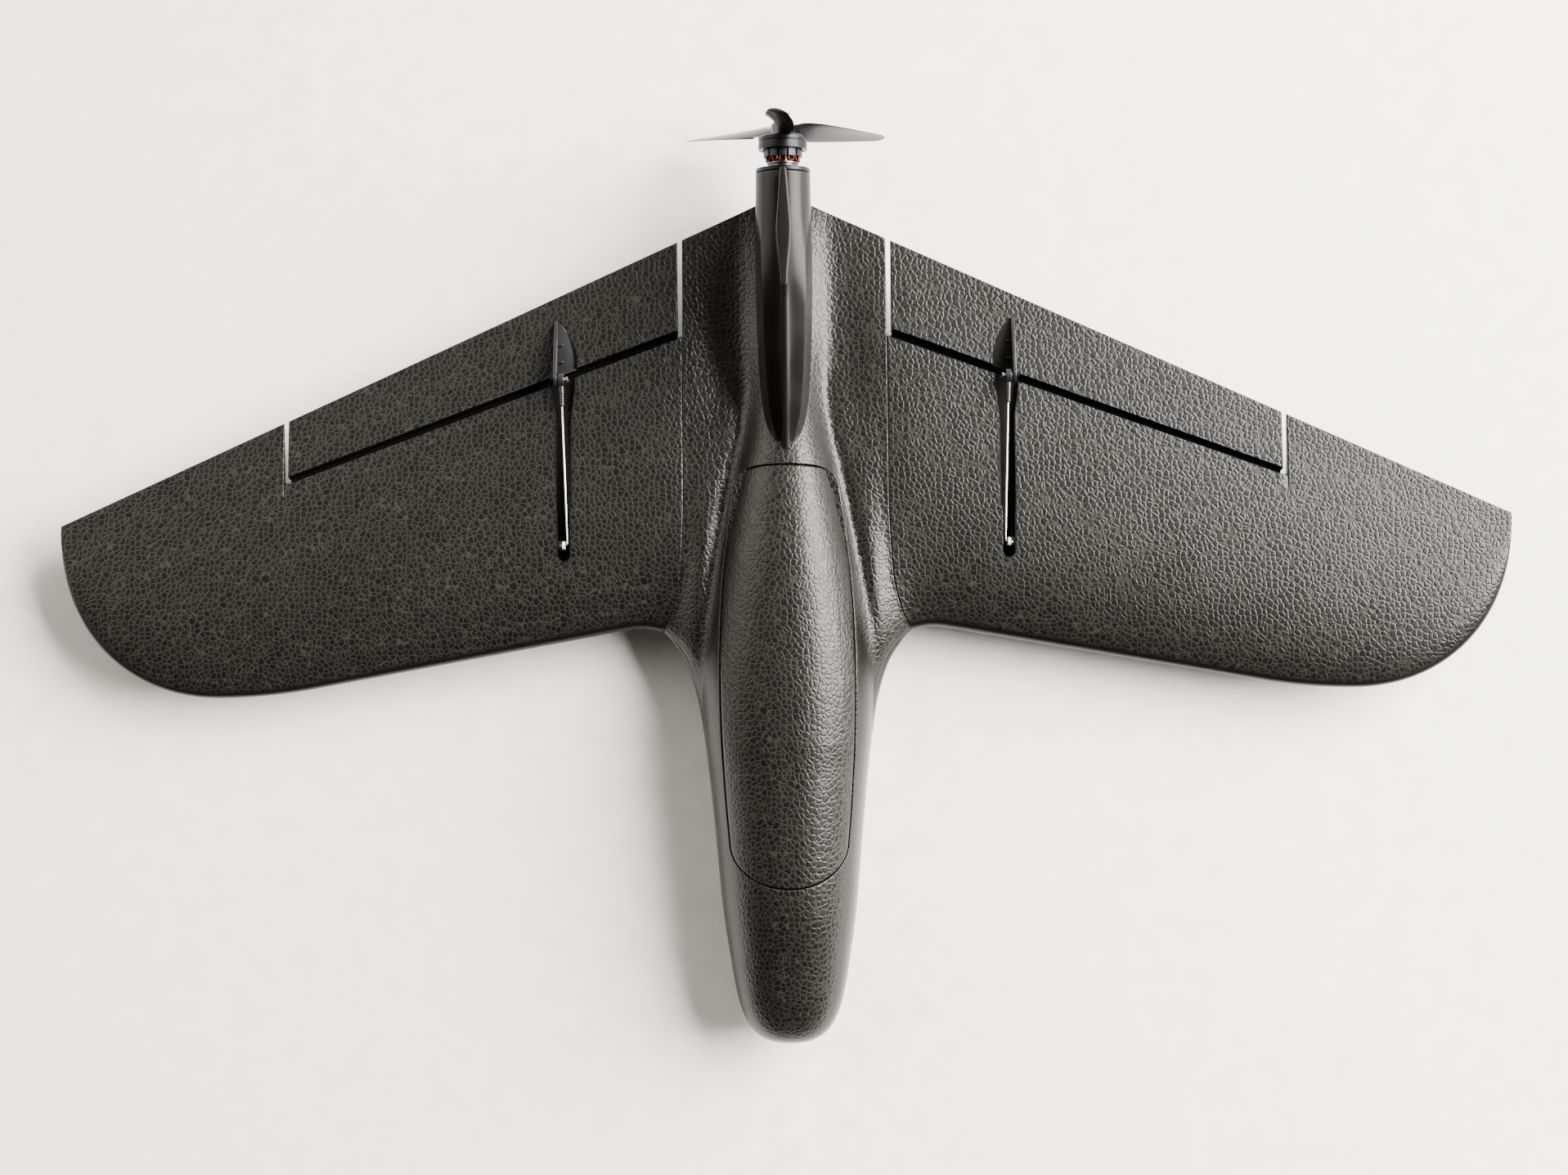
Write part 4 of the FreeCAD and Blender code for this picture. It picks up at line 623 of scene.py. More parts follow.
def bay_line(outline):
    """Half of the battery bay's outline, with as many points as the hatch outline around it."""
    turn = np.linspace(0, math.pi / 2, 12)
    bend = BAY_CORNER * np.column_stack([np.sin(turn), 1 - np.cos(turn)])
    first = np.array([BAY_HALF - BAY_CORNER, BAY_FRONT]) + bend
    last = np.array([BAY_HALF - BAY_CORNER, BAY_REAR]) + bend * (1, -1)
    line = np.concatenate([[(0, BAY_FRONT)], first, last[::-1], [(0, BAY_REAR)]])
    length = np.linalg.norm(np.diff(line, axis=0), axis=1).sum()
    turned_at = BAY_HALF - BAY_CORNER / 4
    ends = np.array([turned_at, turned_at + BAY_REAR - BAY_FRONT]) / length
    front, rear = [np.argmax(outline[:, 1] > y) for y in (BAY_FRONT + 2, BAY_REAR)]
    breaks = [0, front, rear, len(outline) - 1]
    shares = np.interp(np.arange(len(outline)), breaks, [0, ends[0], min(ends[1], 0.93), 1])
    return resample(line, shares)


def centre_section():
    """Nose, fuselage and wing roots in one shell, with the hatch's seat and the battery bay."""
    outline, outward = hatch_line(GAP)
    border = centre_border()
    flank = border[:, 1] < -44.0
    top = lipped_top(outline, outward, border, np.sin(np.linspace(0, math.pi / 2, 64))[1:])
    top[-1][flank, 2] = PLANE_Z
    sill = lifted(top[0], SEAT_Z)
    bay = bay_line(outline)
    bay_top, bay_foot = lifted(bay, SEAT_Z), lifted(bay, BAY_FLOOR_Z)
    spine = points(0.0, np.clip(bay[:, 1], BAY_FRONT + 12, BAY_REAR - 12), BAY_FLOOR_Z)
    columns = np.sin(np.linspace(0, math.pi / 2, 56))
    x = border[:, 0][None] * columns[:, None]
    y = np.repeat(border[:, 1][None], len(columns), axis=0)
    under = points(x, y, body_height(x, y, -1))
    under[-1][flank, 2] = PLANE_Z
    patches = [top, rows_between(sill, top[0], 4), rows_between(bay_top, sill, 5),
               rows_between(bay_foot, bay_top, 8), rows_between(spine, bay_foot, 6), under,
               rows_between(under[-1], top[-1], 5)]
    return paint_beads(mesh_of("centre_section_shell", both_sides(patches)))


def hatch():
    """The hatch: its top follows the body's skin, and it is hollow underneath."""
    outline, outward = hatch_line(0.0)
    middle_y = np.clip((outline - outward * LIP)[:, 1], -140.0, 42.0)
    middle = np.column_stack([np.zeros(len(middle_y)), middle_y])
    top = lipped_top(outline, -outward, middle, np.linspace(0, 1, 44)[1:])
    foot = lifted(top[0], HATCH_FOOT_Z)
    rib, rear_y = 9.0, 36.0
    inner, _ = hatch_line(-rib)
    rear_from = int(np.argmax(inner[:, 1] > rear_y))
    inner[rear_from:] = np.linspace((inner[rear_from, 0], rear_y), (0.0, rear_y), len(inner) - rear_from)
    inner_foot, roof = lifted(inner, HATCH_FOOT_Z), lifted(inner, 65.0)
    spine = points(0.0, np.clip(inner[:, 1], -140.0, 30.0), 66.0)
    patches = [top, rows_between(foot, top[0], 5), rows_between(inner_foot, foot, 4),
               rows_between(roof, inner_foot, 4), rows_between(spine, roof, 6)]
    return paint_beads(mesh_of("hatch_shell", both_sides(patches)))


finish_piece("center_section_foam", centre_section(), "foam", "airframe", "center_section")
finish_piece("hatch_foam", hatch(), "foam", "hatch", "hatch")


# ------------------------------------------------------------------ wing panels, elevons, hinge strips
def wing_z(x, y, sign):
    """Z of the wing's top (sign 1) or underside (sign -1)."""
    up, down = wing_skins(x, y)
    return PLANE_Z + np.where(sign > 0, up, -down)


def groove_edge(x, side):
    """Y where the V groove's front (side -1) or rear (side 1) wall meets the wing's top."""
    aft = np.full_like(x, 1.0)
    for _ in range(12):
        height = wing_z(x, hinge_y(x, side * aft), 1) - FOOT_Z
        aft = GROOVE_HALF + height * GROOVE_LEAN
    return hinge_y(x, side * aft)


def station_x(base, y):
    """X of a spanwise station that leans to follow the root seam."""
    share = np.clip((ROOT_STRAIGHT_X - base) / (ROOT_STRAIGHT_X - ROOT_X), 0, 1)
    return base + share * (seam(y) + 0.1 - ROOT_X)


def front_points(base):
    """Where each spanwise station meets the leading edge."""
    y = leading_edge(base)
    for _ in range(60):
        y = 0.5 * y + 0.5 * leading_edge(station_x(base, y))
    return y


def lower_edges(z, sign, drop):
    """A wing skin lowered at its rounded edges, but never past the wing plane."""
    return z - sign * np.minimum(drop, np.maximum(np.abs(z - PLANE_Z) - 0.02, 0))


def wing_grid(base, y_front, y_rear, shares, sign):
    """Rows along the span, columns along the chord, on the wing's top or underside."""
    y = y_front[:, None] * (1 - shares[None]) + y_rear[:, None] * shares[None]
    x = station_x(base[:, None], y)
    from_slot = np.where(y > hinge_y(x, -8.0), x - SLOT_X, 99.0)
    drop = round_off(x - (seam(y) + 0.1), 0.5) + tail_drop(x, y)
    drop = drop + np.where(from_slot > -0.01, round_off(from_slot, 0.6), 0)
    return points(x, y, lower_edges(wing_z(x, y, sign), sign, drop))


def between(top, under):
    """Rows from a top curve by way of the middle to an under curve."""
    return np.stack([top, (top + under) / 2, under])


def end_wall(top, under, first_middle):
    """Closes an open end between a top curve and an under curve, by way of a middle line."""
    share = np.linspace(0, 1, len(top))[:, None]
    last = (top[-1] + under[-1]) / 2
    middle = np.array(first_middle)[None] * (1 - share) + last[None] * share
    return np.stack([top, middle, under])


def wing_panel():
    """The left panel: inboard of the slot it ends at the groove, outboard it runs to the tail edge."""
    chord, aft = crowded(72), crowded(30)
    near = ROOT_X + (1 - np.cos(np.linspace(0, math.pi / 2, 26))) * (ROOT_STRAIGHT_X - ROOT_X)
    inner = np.concatenate([near, np.linspace(92.5, SLOT_X, 88)])
    outer = SLOT_X + np.array([0, 0.05, 0.15, 0.3, 0.6, 1.2, 2.4])
    tip_x, round_x = 422.15, 296.0
    tip = round_x + (tip_x - round_x) * np.sin(np.linspace(0, 1, 60)[1:] * math.pi / 2)
    outer = np.concatenate([outer, tip])
    inner_front, outer_front, tail_y = front_points(inner), front_points(outer), trailing_edge(outer)
    foot_y = hinge_y(inner, -GROOVE_HALF)
    slot_chord = trailing_edge(SLOT_X) - outer_front[0]
    skins = []
    for sign, rear in ((1, groove_edge(inner, -1)), (-1, foot_y)):
        split = outer_front + (rear[-1] - outer_front[0]) / slot_chord * (tail_y - outer_front)
        skins.append((wing_grid(inner, inner_front, rear, chord, sign),
                      wing_grid(outer, split, tail_y, aft, sign),
                      wing_grid(outer, outer_front, split, chord, sign)))
    (top_a, top_b, top_c), (low_a, low_b, low_c) = skins
    foot = points(inner, foot_y, FOOT_Z)
    groove = np.stack([top_a[:, -1], foot, low_a[:, -1]])
    tail = between(top_b[:, -1], low_b[:, -1])
    root = end_wall(top_a[0], low_a[0], foot[0])
    root[1] = resample(np.stack([top_a[0][0], foot[0]]), np.linspace(0, 1, len(chord)))
    slot = end_wall(top_b[0], low_b[0], foot[-1])
    cap = between(np.concatenate([top_c[-1], top_b[-1][1:]]), np.concatenate([low_c[-1], low_b[-1][1:]]))
    cap[1][-1] = tail[1][-1]
    return mesh_of("wing_shell", [top_a, top_b, top_c, low_a, low_b, low_c, groove, tail, root, slot, cap])


def elevon():
    """The left elevon, from the groove's rear wall to the tail edge."""
    inner, outer = ELEVON_X
    ends = np.array([0, 0.05, 0.15, 0.3, 0.6, 1.0, 1.6])
    base = np.concatenate([inner + ends, np.linspace(inner + 3, outer - 3, 110), (outer - ends)[::-1]])
    chord = crowded(44)
    under_front, tail_y = hinge_y(base, GROOVE_HALF), trailing_edge(base)
    skins = []
    for sign, front in ((1, groove_edge(base, 1)), (-1, under_front)):
        y = front[:, None] * (1 - chord[None]) + tail_y[:, None] * chord[None]
        x = np.repeat(base[:, None], len(chord), axis=1)
        drop = round_off(x - inner, 0.6) + round_off(outer - x, 0.6) + tail_drop(x, y)
        skins.append(points(x, y, lower_edges(wing_z(x, y, sign), sign, drop)))
    top, under = skins
    foot = points(base, under_front, FOOT_Z)
    front = np.stack([top[:, 0], foot, under[:, 0]])
    ends = [end_wall(top[k], under[k], foot[k]) for k in (0, -1)]
    return mesh_of("elevon_shell", [top, under, front, between(top[:, -1], under[:, -1])] + ends)


def hinge_strip():
    """Foam thinned to a living hinge between the two groove walls."""
    x = np.linspace(ELEVON_X[0] + 0.5, ELEVON_X[1] - 0.5, 120)
    lines = [(hinge_y(x, aft), deep)
             for aft, deep in ((-GROOVE_HALF, 0.0), (-0.25, 0.22), (0.0, 0.3), (0.25, 0.22), (0.47, 0.0))]
    top = np.stack([points(x, y, FOOT_Z - deep) for y, deep in lines])
    under = np.stack([points(x, y, wing_z(x, y, -1)) for y, _ in lines])
    rims = [np.stack([top[k], under[k]]) for k in (0, -1)]
    rims += [np.stack([top[:, k], under[:, k]]) for k in (0, -1)]
    return mesh_of("hinge_web", [top, under] + rims)


ARM_X = 128.5


def half_round(front, radius):
    """The rounded front end of a slot over the servo arm."""
    return arc(ARM_X, front, radius, np.linspace(math.pi, 2 * math.pi, 25))


def trench_outline():
    """The pushrod's trench, which widens towards the elevon."""
    narrow, wide, flare = 3.4, 4.0, 6.5
    front = 12.6 + narrow
    y = np.concatenate([np.linspace(front, 92.0, 30)[1:], np.linspace(92.0, 130.0, 20)[1:]])
    half = narrow + (wide - narrow) * smooth_step(34.0, 44.0, y)
    half = half + (flare - wide) * smooth_step(90.0, 114.0, y)
    left = np.column_stack([ARM_X - half, y])[::-1]
    return np.concatenate([half_round(front, narrow), np.column_stack([ARM_X + half, y]), left])


def arm_well_outline():
    """The deeper well that the servo arm swings in."""
    half, front, rear = 3.4, 16.0, 30.5
    return np.concatenate([half_round(front, half), [(ARM_X + half, rear), (ARM_X - half, rear)]])


def rounded_box(x0, x1, y0, y1, corner, steps=6):
    """A rectangle with rounded corners in plan."""
    line = []
    for cx, cy, begin in ((x1 - corner, y1 - corner, 0), (x0 + corner, y1 - corner, 90),
                          (x0 + corner, y0 + corner, 180), (x1 - corner, y0 + corner, 270)):
        line.append(arc(cx, cy, corner, np.radians(np.linspace(begin, begin + 90, steps))))
    return np.concatenate(line)


def horn_outline(grow=0.0):
    """The D of the horn's foot in the elevon."""
    rear, front, straight_x = 151.0 + grow, 114.0, 131.4
    knots = [(straight_x, rear), (129.2, rear - 0.9), (126.9, rear - 4.5), (124.4, rear - 9.0),
             (122.4 - grow, rear - 14.0), (121.0 - grow, rear - 20.0), (120.6 - grow, rear - 26.0),
             (120.6 - grow, front)]
    curve = resample(np.array(knots), np.linspace(0, 1, 60))
    for _ in range(10):
        curve = smoothed(curve)
    return np.concatenate([curve, [(straight_x + grow, front), (straight_x + grow, rear)]])


# the pushrod's trench, the arm's well, the servo's room and the seat of its cover
cutters = [prism(trench_outline(), 38.0, 70.0), prism(arm_well_outline(), 29.2, 60.0),
           prism(rounded_box(131.0, 155.8, 15.2, 38.8, 1.0), 20.0, 38.7),
           prism(rounded_box(130.0, 158.5, 12.5, 41.5, 3.0), 20.0, 28.5)]
wing_mesh = carve(wing_panel(), cutters)
elevon_mesh = carve(elevon(), [prism(horn_outline(0.15), 36.0, 70.0)])
finish_pair("wing", "_foam", paint_beads(wing_mesh, 0.80, 0.95), "foam")
finish_pair("elevon", "_foam", paint_beads(elevon_mesh, 0.80, 0.95), "foam", "elevon")

strip_mesh = hinge_strip()
for side, sign in (("left", 1), ("right", -1)):
    web = strip_mesh if sign > 0 else mirrored_mesh(strip_mesh)
    strip = finish_piece(side + "_hinge_web", web, "smooth_foam", None, side + "_hinge_strip")
    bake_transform(strip)


# ------------------------------------------------------------------ turned, drawn and pressed pieces
def soften(line, radius, closed=False, steps=5):
    """Rounds the corners of a polyline with short curves."""
    line = np.array(line, float)
    count, out = len(line), []
    for k in range(count):
        if not closed and k in (0, count - 1):
            out.append(line[k])
            continue
        here = line[k]
        a, b = line[k - 1] - here, line[(k + 1) % count] - here
        length_a, length_b = np.linalg.norm(a), np.linalg.norm(b)
        reach = min(radius, length_a * 0.45, length_b * 0.45)
        start, end = here + a / length_a * reach, here + b / length_b * reach
        for s in np.linspace(0, 1, steps):
            out.append((1 - s) ** 2 * start + 2 * s * (1 - s) * here + s * s * end)
    return np.array(out)


def spokes(axis, count):
    """Unit vectors square to an axis, all the way round it."""
    forward = np.array(axis, float) / np.linalg.norm(axis)
    guide = (0, 0, 1.0) if abs(forward[2]) < 0.9 else (1.0, 0, 0)
    side = np.cross(forward, guide)
    side /= np.linalg.norm(side)
    turn = np.linspace(0, 2 * math.pi, count + 1)
    return forward, np.cos(turn)[:, None] * side + np.sin(turn)[:, None] * np.cross(side, forward)


def turned(profile, centre, axis=(0, 1, 0), corner=0.25, segments=72, closed=False):
    """A surface turned about an axis; profile is a list of (distance along it, radius)."""
    line = soften(profile, corner, closed)
    if closed:
        line = np.concatenate([line, line[:1]])
    forward, around = spokes(axis, segments)
    return np.array(centre, float) + line[:, :1, None] * forward + line[:, 1:, None] * around[None]


def lathe(name, profile, centre, *shape, **settings):
    """A closed mesh turned about an axis."""
    return mesh_of(name, [turned(profile, centre, *shape, **settings)])


def tube(path, radius, segments=16):
    """A round bar along a path, with rounded ends."""
    path = np.array(path, float)
    ahead = np.gradient(path, axis=0)
    ahead /= np.linalg.norm(ahead, axis=1)[:, None]
    side = np.cross(ahead[0], (0.3, 0.1, 1.0))
    turn = np.linspace(0, 2 * math.pi, segments + 1)[:, None]
    rows = []
    for k, (spot, way) in enumerate(zip(path, ahead)):
        side = side - way * np.dot(side, way)
        side /= np.linalg.norm(side)
        ring = np.cos(turn) * side + np.sin(turn) * np.cross(way, side)
        if k == 0:
            rows += [spot + ring * 0, spot + ring * radius * 0.7, spot + way * radius * 0.3 + ring * radius]
        elif k == len(path) - 1:
            rows += [spot - way * radius * 0.3 + ring * radius, spot + ring * radius * 0.7, spot + ring * 0]
        else:
            rows.append(spot + ring * radius)
    return np.stack(rows)


def inset(line, amount):
    """A closed plan outline moved inwards by a distance."""
    normal = left_of(np.roll(line, -1, 0) - np.roll(line, 1, 0))
    area = np.sum(line[:, 0] * np.roll(line[:, 1], -1) - np.roll(line[:, 0], -1) * line[:, 1])
    return line + normal * amount * np.sign(area)


def slab(name, outline, low, high, bevel=0.25, place=points, turns=(0, 30, 60, 90)):
    """A plate with rounded edges; place turns the outline's columns and a height into points."""
    rings = []
    for end, way in ((low, 1), (high, -1)):
        for turn in np.radians(turns)[::way]:
            edge = inset(outline, bevel * (1 - math.sin(turn)))
            rings.append(place(edge[:, 0], edge[:, 1], end + way * bevel * (1 - math.cos(turn))))
    return stack_mesh(name, rings)


def merged(name, meshes):
    """Several closed meshes in one."""
    work = bmesh.new()
    for mesh in meshes:
        work.from_mesh(mesh)
    whole = bpy.data.meshes.new(name)
    work.to_mesh(whole)
    work.free()
    return whole


def upright(x):
    """Places a plate whose outline is (y, z) so that its thickness runs along X from x."""
    return lambda a, b, c: points(x + c, a, b)


# ------------------------------------------------------------------ motor pod and fin
POD_LINE = [(67, 1.6), (69, 4.2), (72, 6.4), (76, 8.2), (83, 10.2), (92, 12.1), (104, 13.8), (120, 15.0),
            (145, 16.1), (175, 16.5), (205, 16.2), (222, 15.8), (233.7, 15.7)]
FIN_LINE = [(66, 0.3), (150, 0.32), (170, 0.52), (195, 1.0), (212, 0.72), (231, 0.35)]
POD_TOP = 70.7
MOUNT_Y = 233.7


def pod_section(y):
    """Half-section of the pod at y, from under the body's skin up to the middle of its roof."""
    half = float(smooth_line(POD_LINE, y))
    skin = float(body_height(np.array(half), np.array(min(y, 222.0)), 1)) - 1.2
    top = POD_TOP - 5.5 * float(smooth_step(130.0, 66.0, y))
    ledge_x, ledge_z = max(half - 4.2, half * 0.5), skin + 0.96 * (top - skin)
    ridge_x, ridge_z = min(1.5, half * 0.3), top + 0.5
    turn = np.linspace(0, 1, 12)
    wall = np.column_stack([half + (ledge_x - half) * turn, skin + (ledge_z - skin) * turn ** 0.9])
    turn = np.linspace(0, 1, 22)[1:]
    roof = np.column_stack([ledge_x + (ridge_x - ledge_x) * turn,
                            ledge_z + (ridge_z - ledge_z) * (0.6 * turn ** 0.7 + 0.4 * turn ** 6)])
    forward = np.concatenate([[(half, PLANE_Z)], wall, roof, [(0, ridge_z)]])
    split = math.radians(38)
    angle = np.concatenate([np.linspace(0, split, 12), np.linspace(split, math.pi / 2, 22)[1:]])
    side_z = POD_TOP - half
    rear = np.concatenate([[(half, PLANE_Z)], arc(0, side_z, half, angle), [(0, POD_TOP)]])
    share = float(smooth_step(150.0, 216.0, y))
    section = forward * (1 - share) + rear * share
    lift = float(smooth_step(217.0, 232.0, y))
    under = arc(0, side_z, half, np.linspace(-math.pi / 2, 0, 12))
    flat = np.column_stack([np.linspace(0, half, 12), np.full(12, PLANE_Z)])
    return np.concatenate([flat * (1 - lift) + under * lift, section[1:]])


def motor_pod():
    """The pod from its point at the hatch to its round rear face, with a bore for the motor."""
    chamfer_y, end_y, bore, bore_depth = 232.9, 233.6, 11.0, 8.0
    y = np.concatenate([67.0 + 26.0 * np.linspace(0, 1, 36) ** 1.6, np.linspace(94.0, chamfer_y, 110),
                        [233.2, 233.45, end_y]])
    rows = []
    for station in y:
        half = pod_section(station)
        shrink = 1 - 0.035 * float(smooth_step(chamfer_y, end_y, station)) ** 2
        rows.append(points(half[:, 0] * shrink, station, MOTOR_Z + (half[:, 1] - MOTOR_Z) * shrink))
    skin = np.stack(rows)
    flat = skin[-1] - (0, 0, MOTOR_Z)
    reach = np.linalg.norm(flat[:, [0, 2]], axis=1)
    rim = points(flat[:, 0] / reach * bore, MOUNT_Y, MOTOR_Z + flat[:, 2] / reach * bore)
    deep = rim - (0, bore_depth, 0)
    plug = points(0.0, deep[:, 1], np.clip(deep[:, 2], MOTOR_Z - 8, MOTOR_Z + 8))
    nose = skin[0] * (0, 1, 1)
    patches = [skin, rows_between(skin[-1], rim, 3), rows_between(rim, deep, 3), rows_between(deep, plug, 3),
               rows_between(nose, skin[0], 2)]
    return mesh_of("motor_pod_shell", both_sides(patches))


def dorsal_fin():
    """A swept fin with a rounded front, rear and top edge, a little thicker at its foot."""
    foot_z, height, foot_front, foot_chord, sweep, lean = 63.0, 51.0, 66.0, 165.0, 97.0, 3.0
    edge_round, round_from_z, half_width = 0.8, 113.2, 4.0
    front_round, rear_round = 2.0, 1.2
    levels = np.concatenate([np.linspace(0, 0.985, 40), [0.9875, 0.991, 0.9945, 0.9975, 1.0]])
    rows = []
    for level in levels:
        z = foot_z + height * level
        y = (foot_front + sweep * level) + (foot_chord - lean * level - sweep * level) * crowded(90)
        y = np.maximum(y, foot_front)
        ends = np.minimum((y - y[0]) / front_round, 1.0), np.minimum((y[-1] - y) / rear_round, 1.0)
        taper = np.sqrt(1 - (1 - ends[0]) ** 2) * np.sqrt(1 - (1 - ends[1]) ** 2)
        drop = max(z - round_from_z, 0.0)
        edge = edge_round - math.sqrt(max(edge_round ** 2 - drop ** 2, 0.0))
        thick = smooth_line(FIN_LINE, y)
        draft = 0.9 * (1 - level) * np.minimum(thick, 0.8)
        rows.append(points(np.maximum(thick * half_width + draft - edge, 0.15) * taper, y, z))
    side = np.stack(rows)
    top, foot = [row * (0, 1, 1) for row in (side[-1], side[0])]
    closing = [rows_between(side[-1], top, 3), rows_between(side[0], foot, 2)]
    return mesh_of("dorsal_fin_shell", both_sides([side] + closing))


finish_piece("motor_pod_skin", motor_pod(), "smooth_foam", "airframe", "motor_pod", 50.0)
finish_piece("dorsal_fin_skin", dorsal_fin(), "smooth_foam", "airframe", "dorsal_fin", 50.0)


# ------------------------------------------------------------------ motor and propeller
BASE_Y, COIL_Y, BELL_Y, HUB_Y, WASHER_Y, NUT_Y = 236.2, 239.9, 247.0, 255.0, 262.0, 262.9
MOTOR_AT = (0.0, 0.0, MOTOR_Z)


def around(shape, count, lean=0.0):
    """Copies of a grid of points spaced evenly round the motor's axis; lean turns them towards -X."""
    copies = []
    for k in range(count):
        turn = 2 * math.pi * k / count - math.radians(lean)
        x, z = shape[..., 0], shape[..., 2] - MOTOR_Z
        copies.append(points(x * math.cos(turn) + z * math.sin(turn), shape[..., 1],
                             MOTOR_Z + z * math.cos(turn) - x * math.sin(turn)))
    return copies


def drill(radius, reach, y0, y1):
    """A round cutter along Y, at a distance left of the motor's axis."""
    profile = [(y0, 0), (y0, radius), (y1, radius), (y1, 0)]
    return turned(profile, (reach, 0, MOTOR_Z), corner=0.01, segments=32)


def motor_mount():
    """The round plate with four holes."""
    inner, outer = 5, 15.65
    profile = [(MOUNT_Y, inner), (MOUNT_Y, outer), (BASE_Y, outer), (BASE_Y, inner)]
    holes = [mesh_of("hole", [hole]) for hole in around(drill(1.6, 8.0, 230, 240), 4)]
    return carve(lathe("mount_plate", profile, MOTOR_AT, corner=0.5, segments=96, closed=True), holes)


def motor_base():
    """The base with a groove round it and the hollow post that carries the stator."""
    steps = [(0, 0), (0, 9.2), (1.1, 9.2), (1.3, 8.7), (2.3, 8.7), (2.5, 9.2), (3.6, 9.2), (3.6, 5.6)]
    profile = [(BASE_Y + along, radius) for along, radius in steps]
    profile += [(252.0, 5.6), (252.0, 4.5), (BASE_Y + 0.8, 4.5), (BASE_Y + 0.8, 0)]
    return lathe("base_turned", profile, MOTOR_AT)


def winding():
    """Copper wire wound in square turns round one tooth of the stator."""
    half, front, rear, wire = 1.6, COIL_Y + 0.32, COIL_Y + 11.85, 0.3
    loops = []
    for z in np.arange(7.85, 9.6, 0.55):
        square = soften([(half, front), (half, rear), (-half, rear), (-half, front)], 1.3, True, 5)
        inward = left_of(np.roll(square, -1, 0) - np.roll(square, 1, 0))
        rows = []
        for turn in np.linspace(0, 2 * math.pi, 11):
            flat = square - inward * wire * math.cos(turn)
            row = points(flat[:, 0], flat[:, 1], MOTOR_Z + z + wire * math.sin(turn))
            rows.append(np.concatenate([row, row[:1]]))
        loops.append(np.stack(rows))
    return loops


def motor_bell():
    """The cup with a groove round its rim and six holes in its face."""
    profile = [(BELL_Y, 12.7), (BELL_Y, 14.0), (251.2, 14.0), (251.4, 13.7), (251.9, 13.7), (252.1, 14.0),
               (254.1, 14.0), (255.0, 13.1), (255.0, 2.5), (252.6, 2.5), (252.6, 12.7)]
    cup = lathe("bell_turned", profile, MOTOR_AT, corner=0.22, segments=128, closed=True)
    return carve(cup, [mesh_of("vent", [vent]) for vent in around(drill(2.3, 9.8, 252, 257), 6)])


def motor_shaft():
    """Ground shaft with a threaded end."""
    profile = [(237.5, 0), (237.5, 2.3), (237.8, 2.48), (262.6, 2.48)]
    for y in np.arange(262.9, 267.2, 0.7):
        profile += [(y, 2.48), (y + 0.35, 2.2)]
    profile += [(267.5, 2.3), (267.8, 2.0), (267.8, 0)]
    return lathe("shaft_turned", profile, MOTOR_AT, corner=0.1, segments=48)


def hex_nut(flats, bore, low, high, centre, axis):
    """A nut with chamfered faces; low and high are distances along its axis."""
    count = 97
    forward, around_axis = spokes(axis, count - 1)
    angle = np.linspace(0, 2 * math.pi, count)
    six = flats / 2 / np.cos((angle + math.pi / 6) % (math.pi / 3) - math.pi / 6)
    bevel, corner = (high - low) * 0.16, flats / math.sqrt(3)
    hole, mouth = np.full(count, bore), np.full(count, bore * 1.12)
    face, side = np.minimum(six, flats * 0.485), np.minimum(six, corner * 1.01)
    rings = [(low, mouth), (low, face), (low + bevel, side), (high - bevel, side), (high, face),
             (high, mouth), (high - bevel * 0.6, hole), (low + bevel * 0.6, hole), (low, mouth)]
    return mesh_of("nut", [np.stack([np.array(centre, float) + along * forward + radius[:, None] * around_axis
                                     for along, radius in rings])])


def blade():
    """The blade that points up, cambered and twisted, with a rounded tip."""
    tip, round_from = 67.0, 60.0
    end = tip - round_from
    radii = np.concatenate([np.linspace(3.0, round_from, 58),
                            tip - end * np.cos(np.linspace(0, math.pi / 2, 16))[1:]])
    share = radii / tip
    chord = smooth_line([(0.10, 10.0), (0.22, 15.5), (0.40, 17.6), (0.60, 16.8), (0.80, 13.4), (0.93, 10.6),
                         (1.0, 9.0)], share)
    chord = chord * np.sqrt(np.clip(1 - ((radii - round_from) / end).clip(0, 1) ** 2.6, 0.0004, 1))
    pitch = smooth_line([(0.10, 42), (0.22, 34), (0.40, 25), (0.60, 18), (0.80, 14), (1.0, 11)], share)
    pitch = np.radians(pitch)[:, None]
    thick = (2.3 - 1.5 * share) * np.clip(chord / 6.0, 0.2, 1)
    turn = np.linspace(0, 2 * math.pi, 49)[None]
    along = chord[:, None] / 2 * np.cos(turn)
    camber = 0.06 * chord[:, None] * (1 - np.cos(turn) ** 2)
    rise = camber + thick[:, None] / 2 * np.sin(turn)
    x = along * np.cos(pitch) + rise * np.sin(pitch)
    y = HUB_Y + 3.5 - along * np.sin(pitch) + rise * np.cos(pitch)
    floor = HUB_Y + 0.4 - 8 * smooth_step(14.8, 19.0, radii)[:, None]
    roof = WASHER_Y - 0.1 + 8 * smooth_step(8.0, 13.0, radii)[:, None]
    grid = points(x, np.clip(y, floor, roof), MOTOR_Z + radii[:, None])
    ends = [np.stack([end, np.repeat(end.mean(0, keepdims=True), len(end), 0)])
            for end in (grid[0], grid[-1])]
    return [grid] + ends


def collar(name, front, rear, radius, corner):
    """A ring round the motor's shaft."""
    profile = [(front, 2.5), (front, radius), (rear, radius), (rear, 2.5)]
    return lathe(name, profile, MOTOR_AT, corner=corner, closed=True)


def propeller():
    """Three blades on a hub, turned to where the photograph shows them."""
    parts = [around(patch, 3, 2.6) for patch in blade()]
    blades = [mesh_of("blade", [copies[k] for copies in parts], 0.001) for k in range(3)]
    return merged("propeller_shell", [collar("hub", HUB_Y, WASHER_Y, 6.8, 0.7)] + blades)


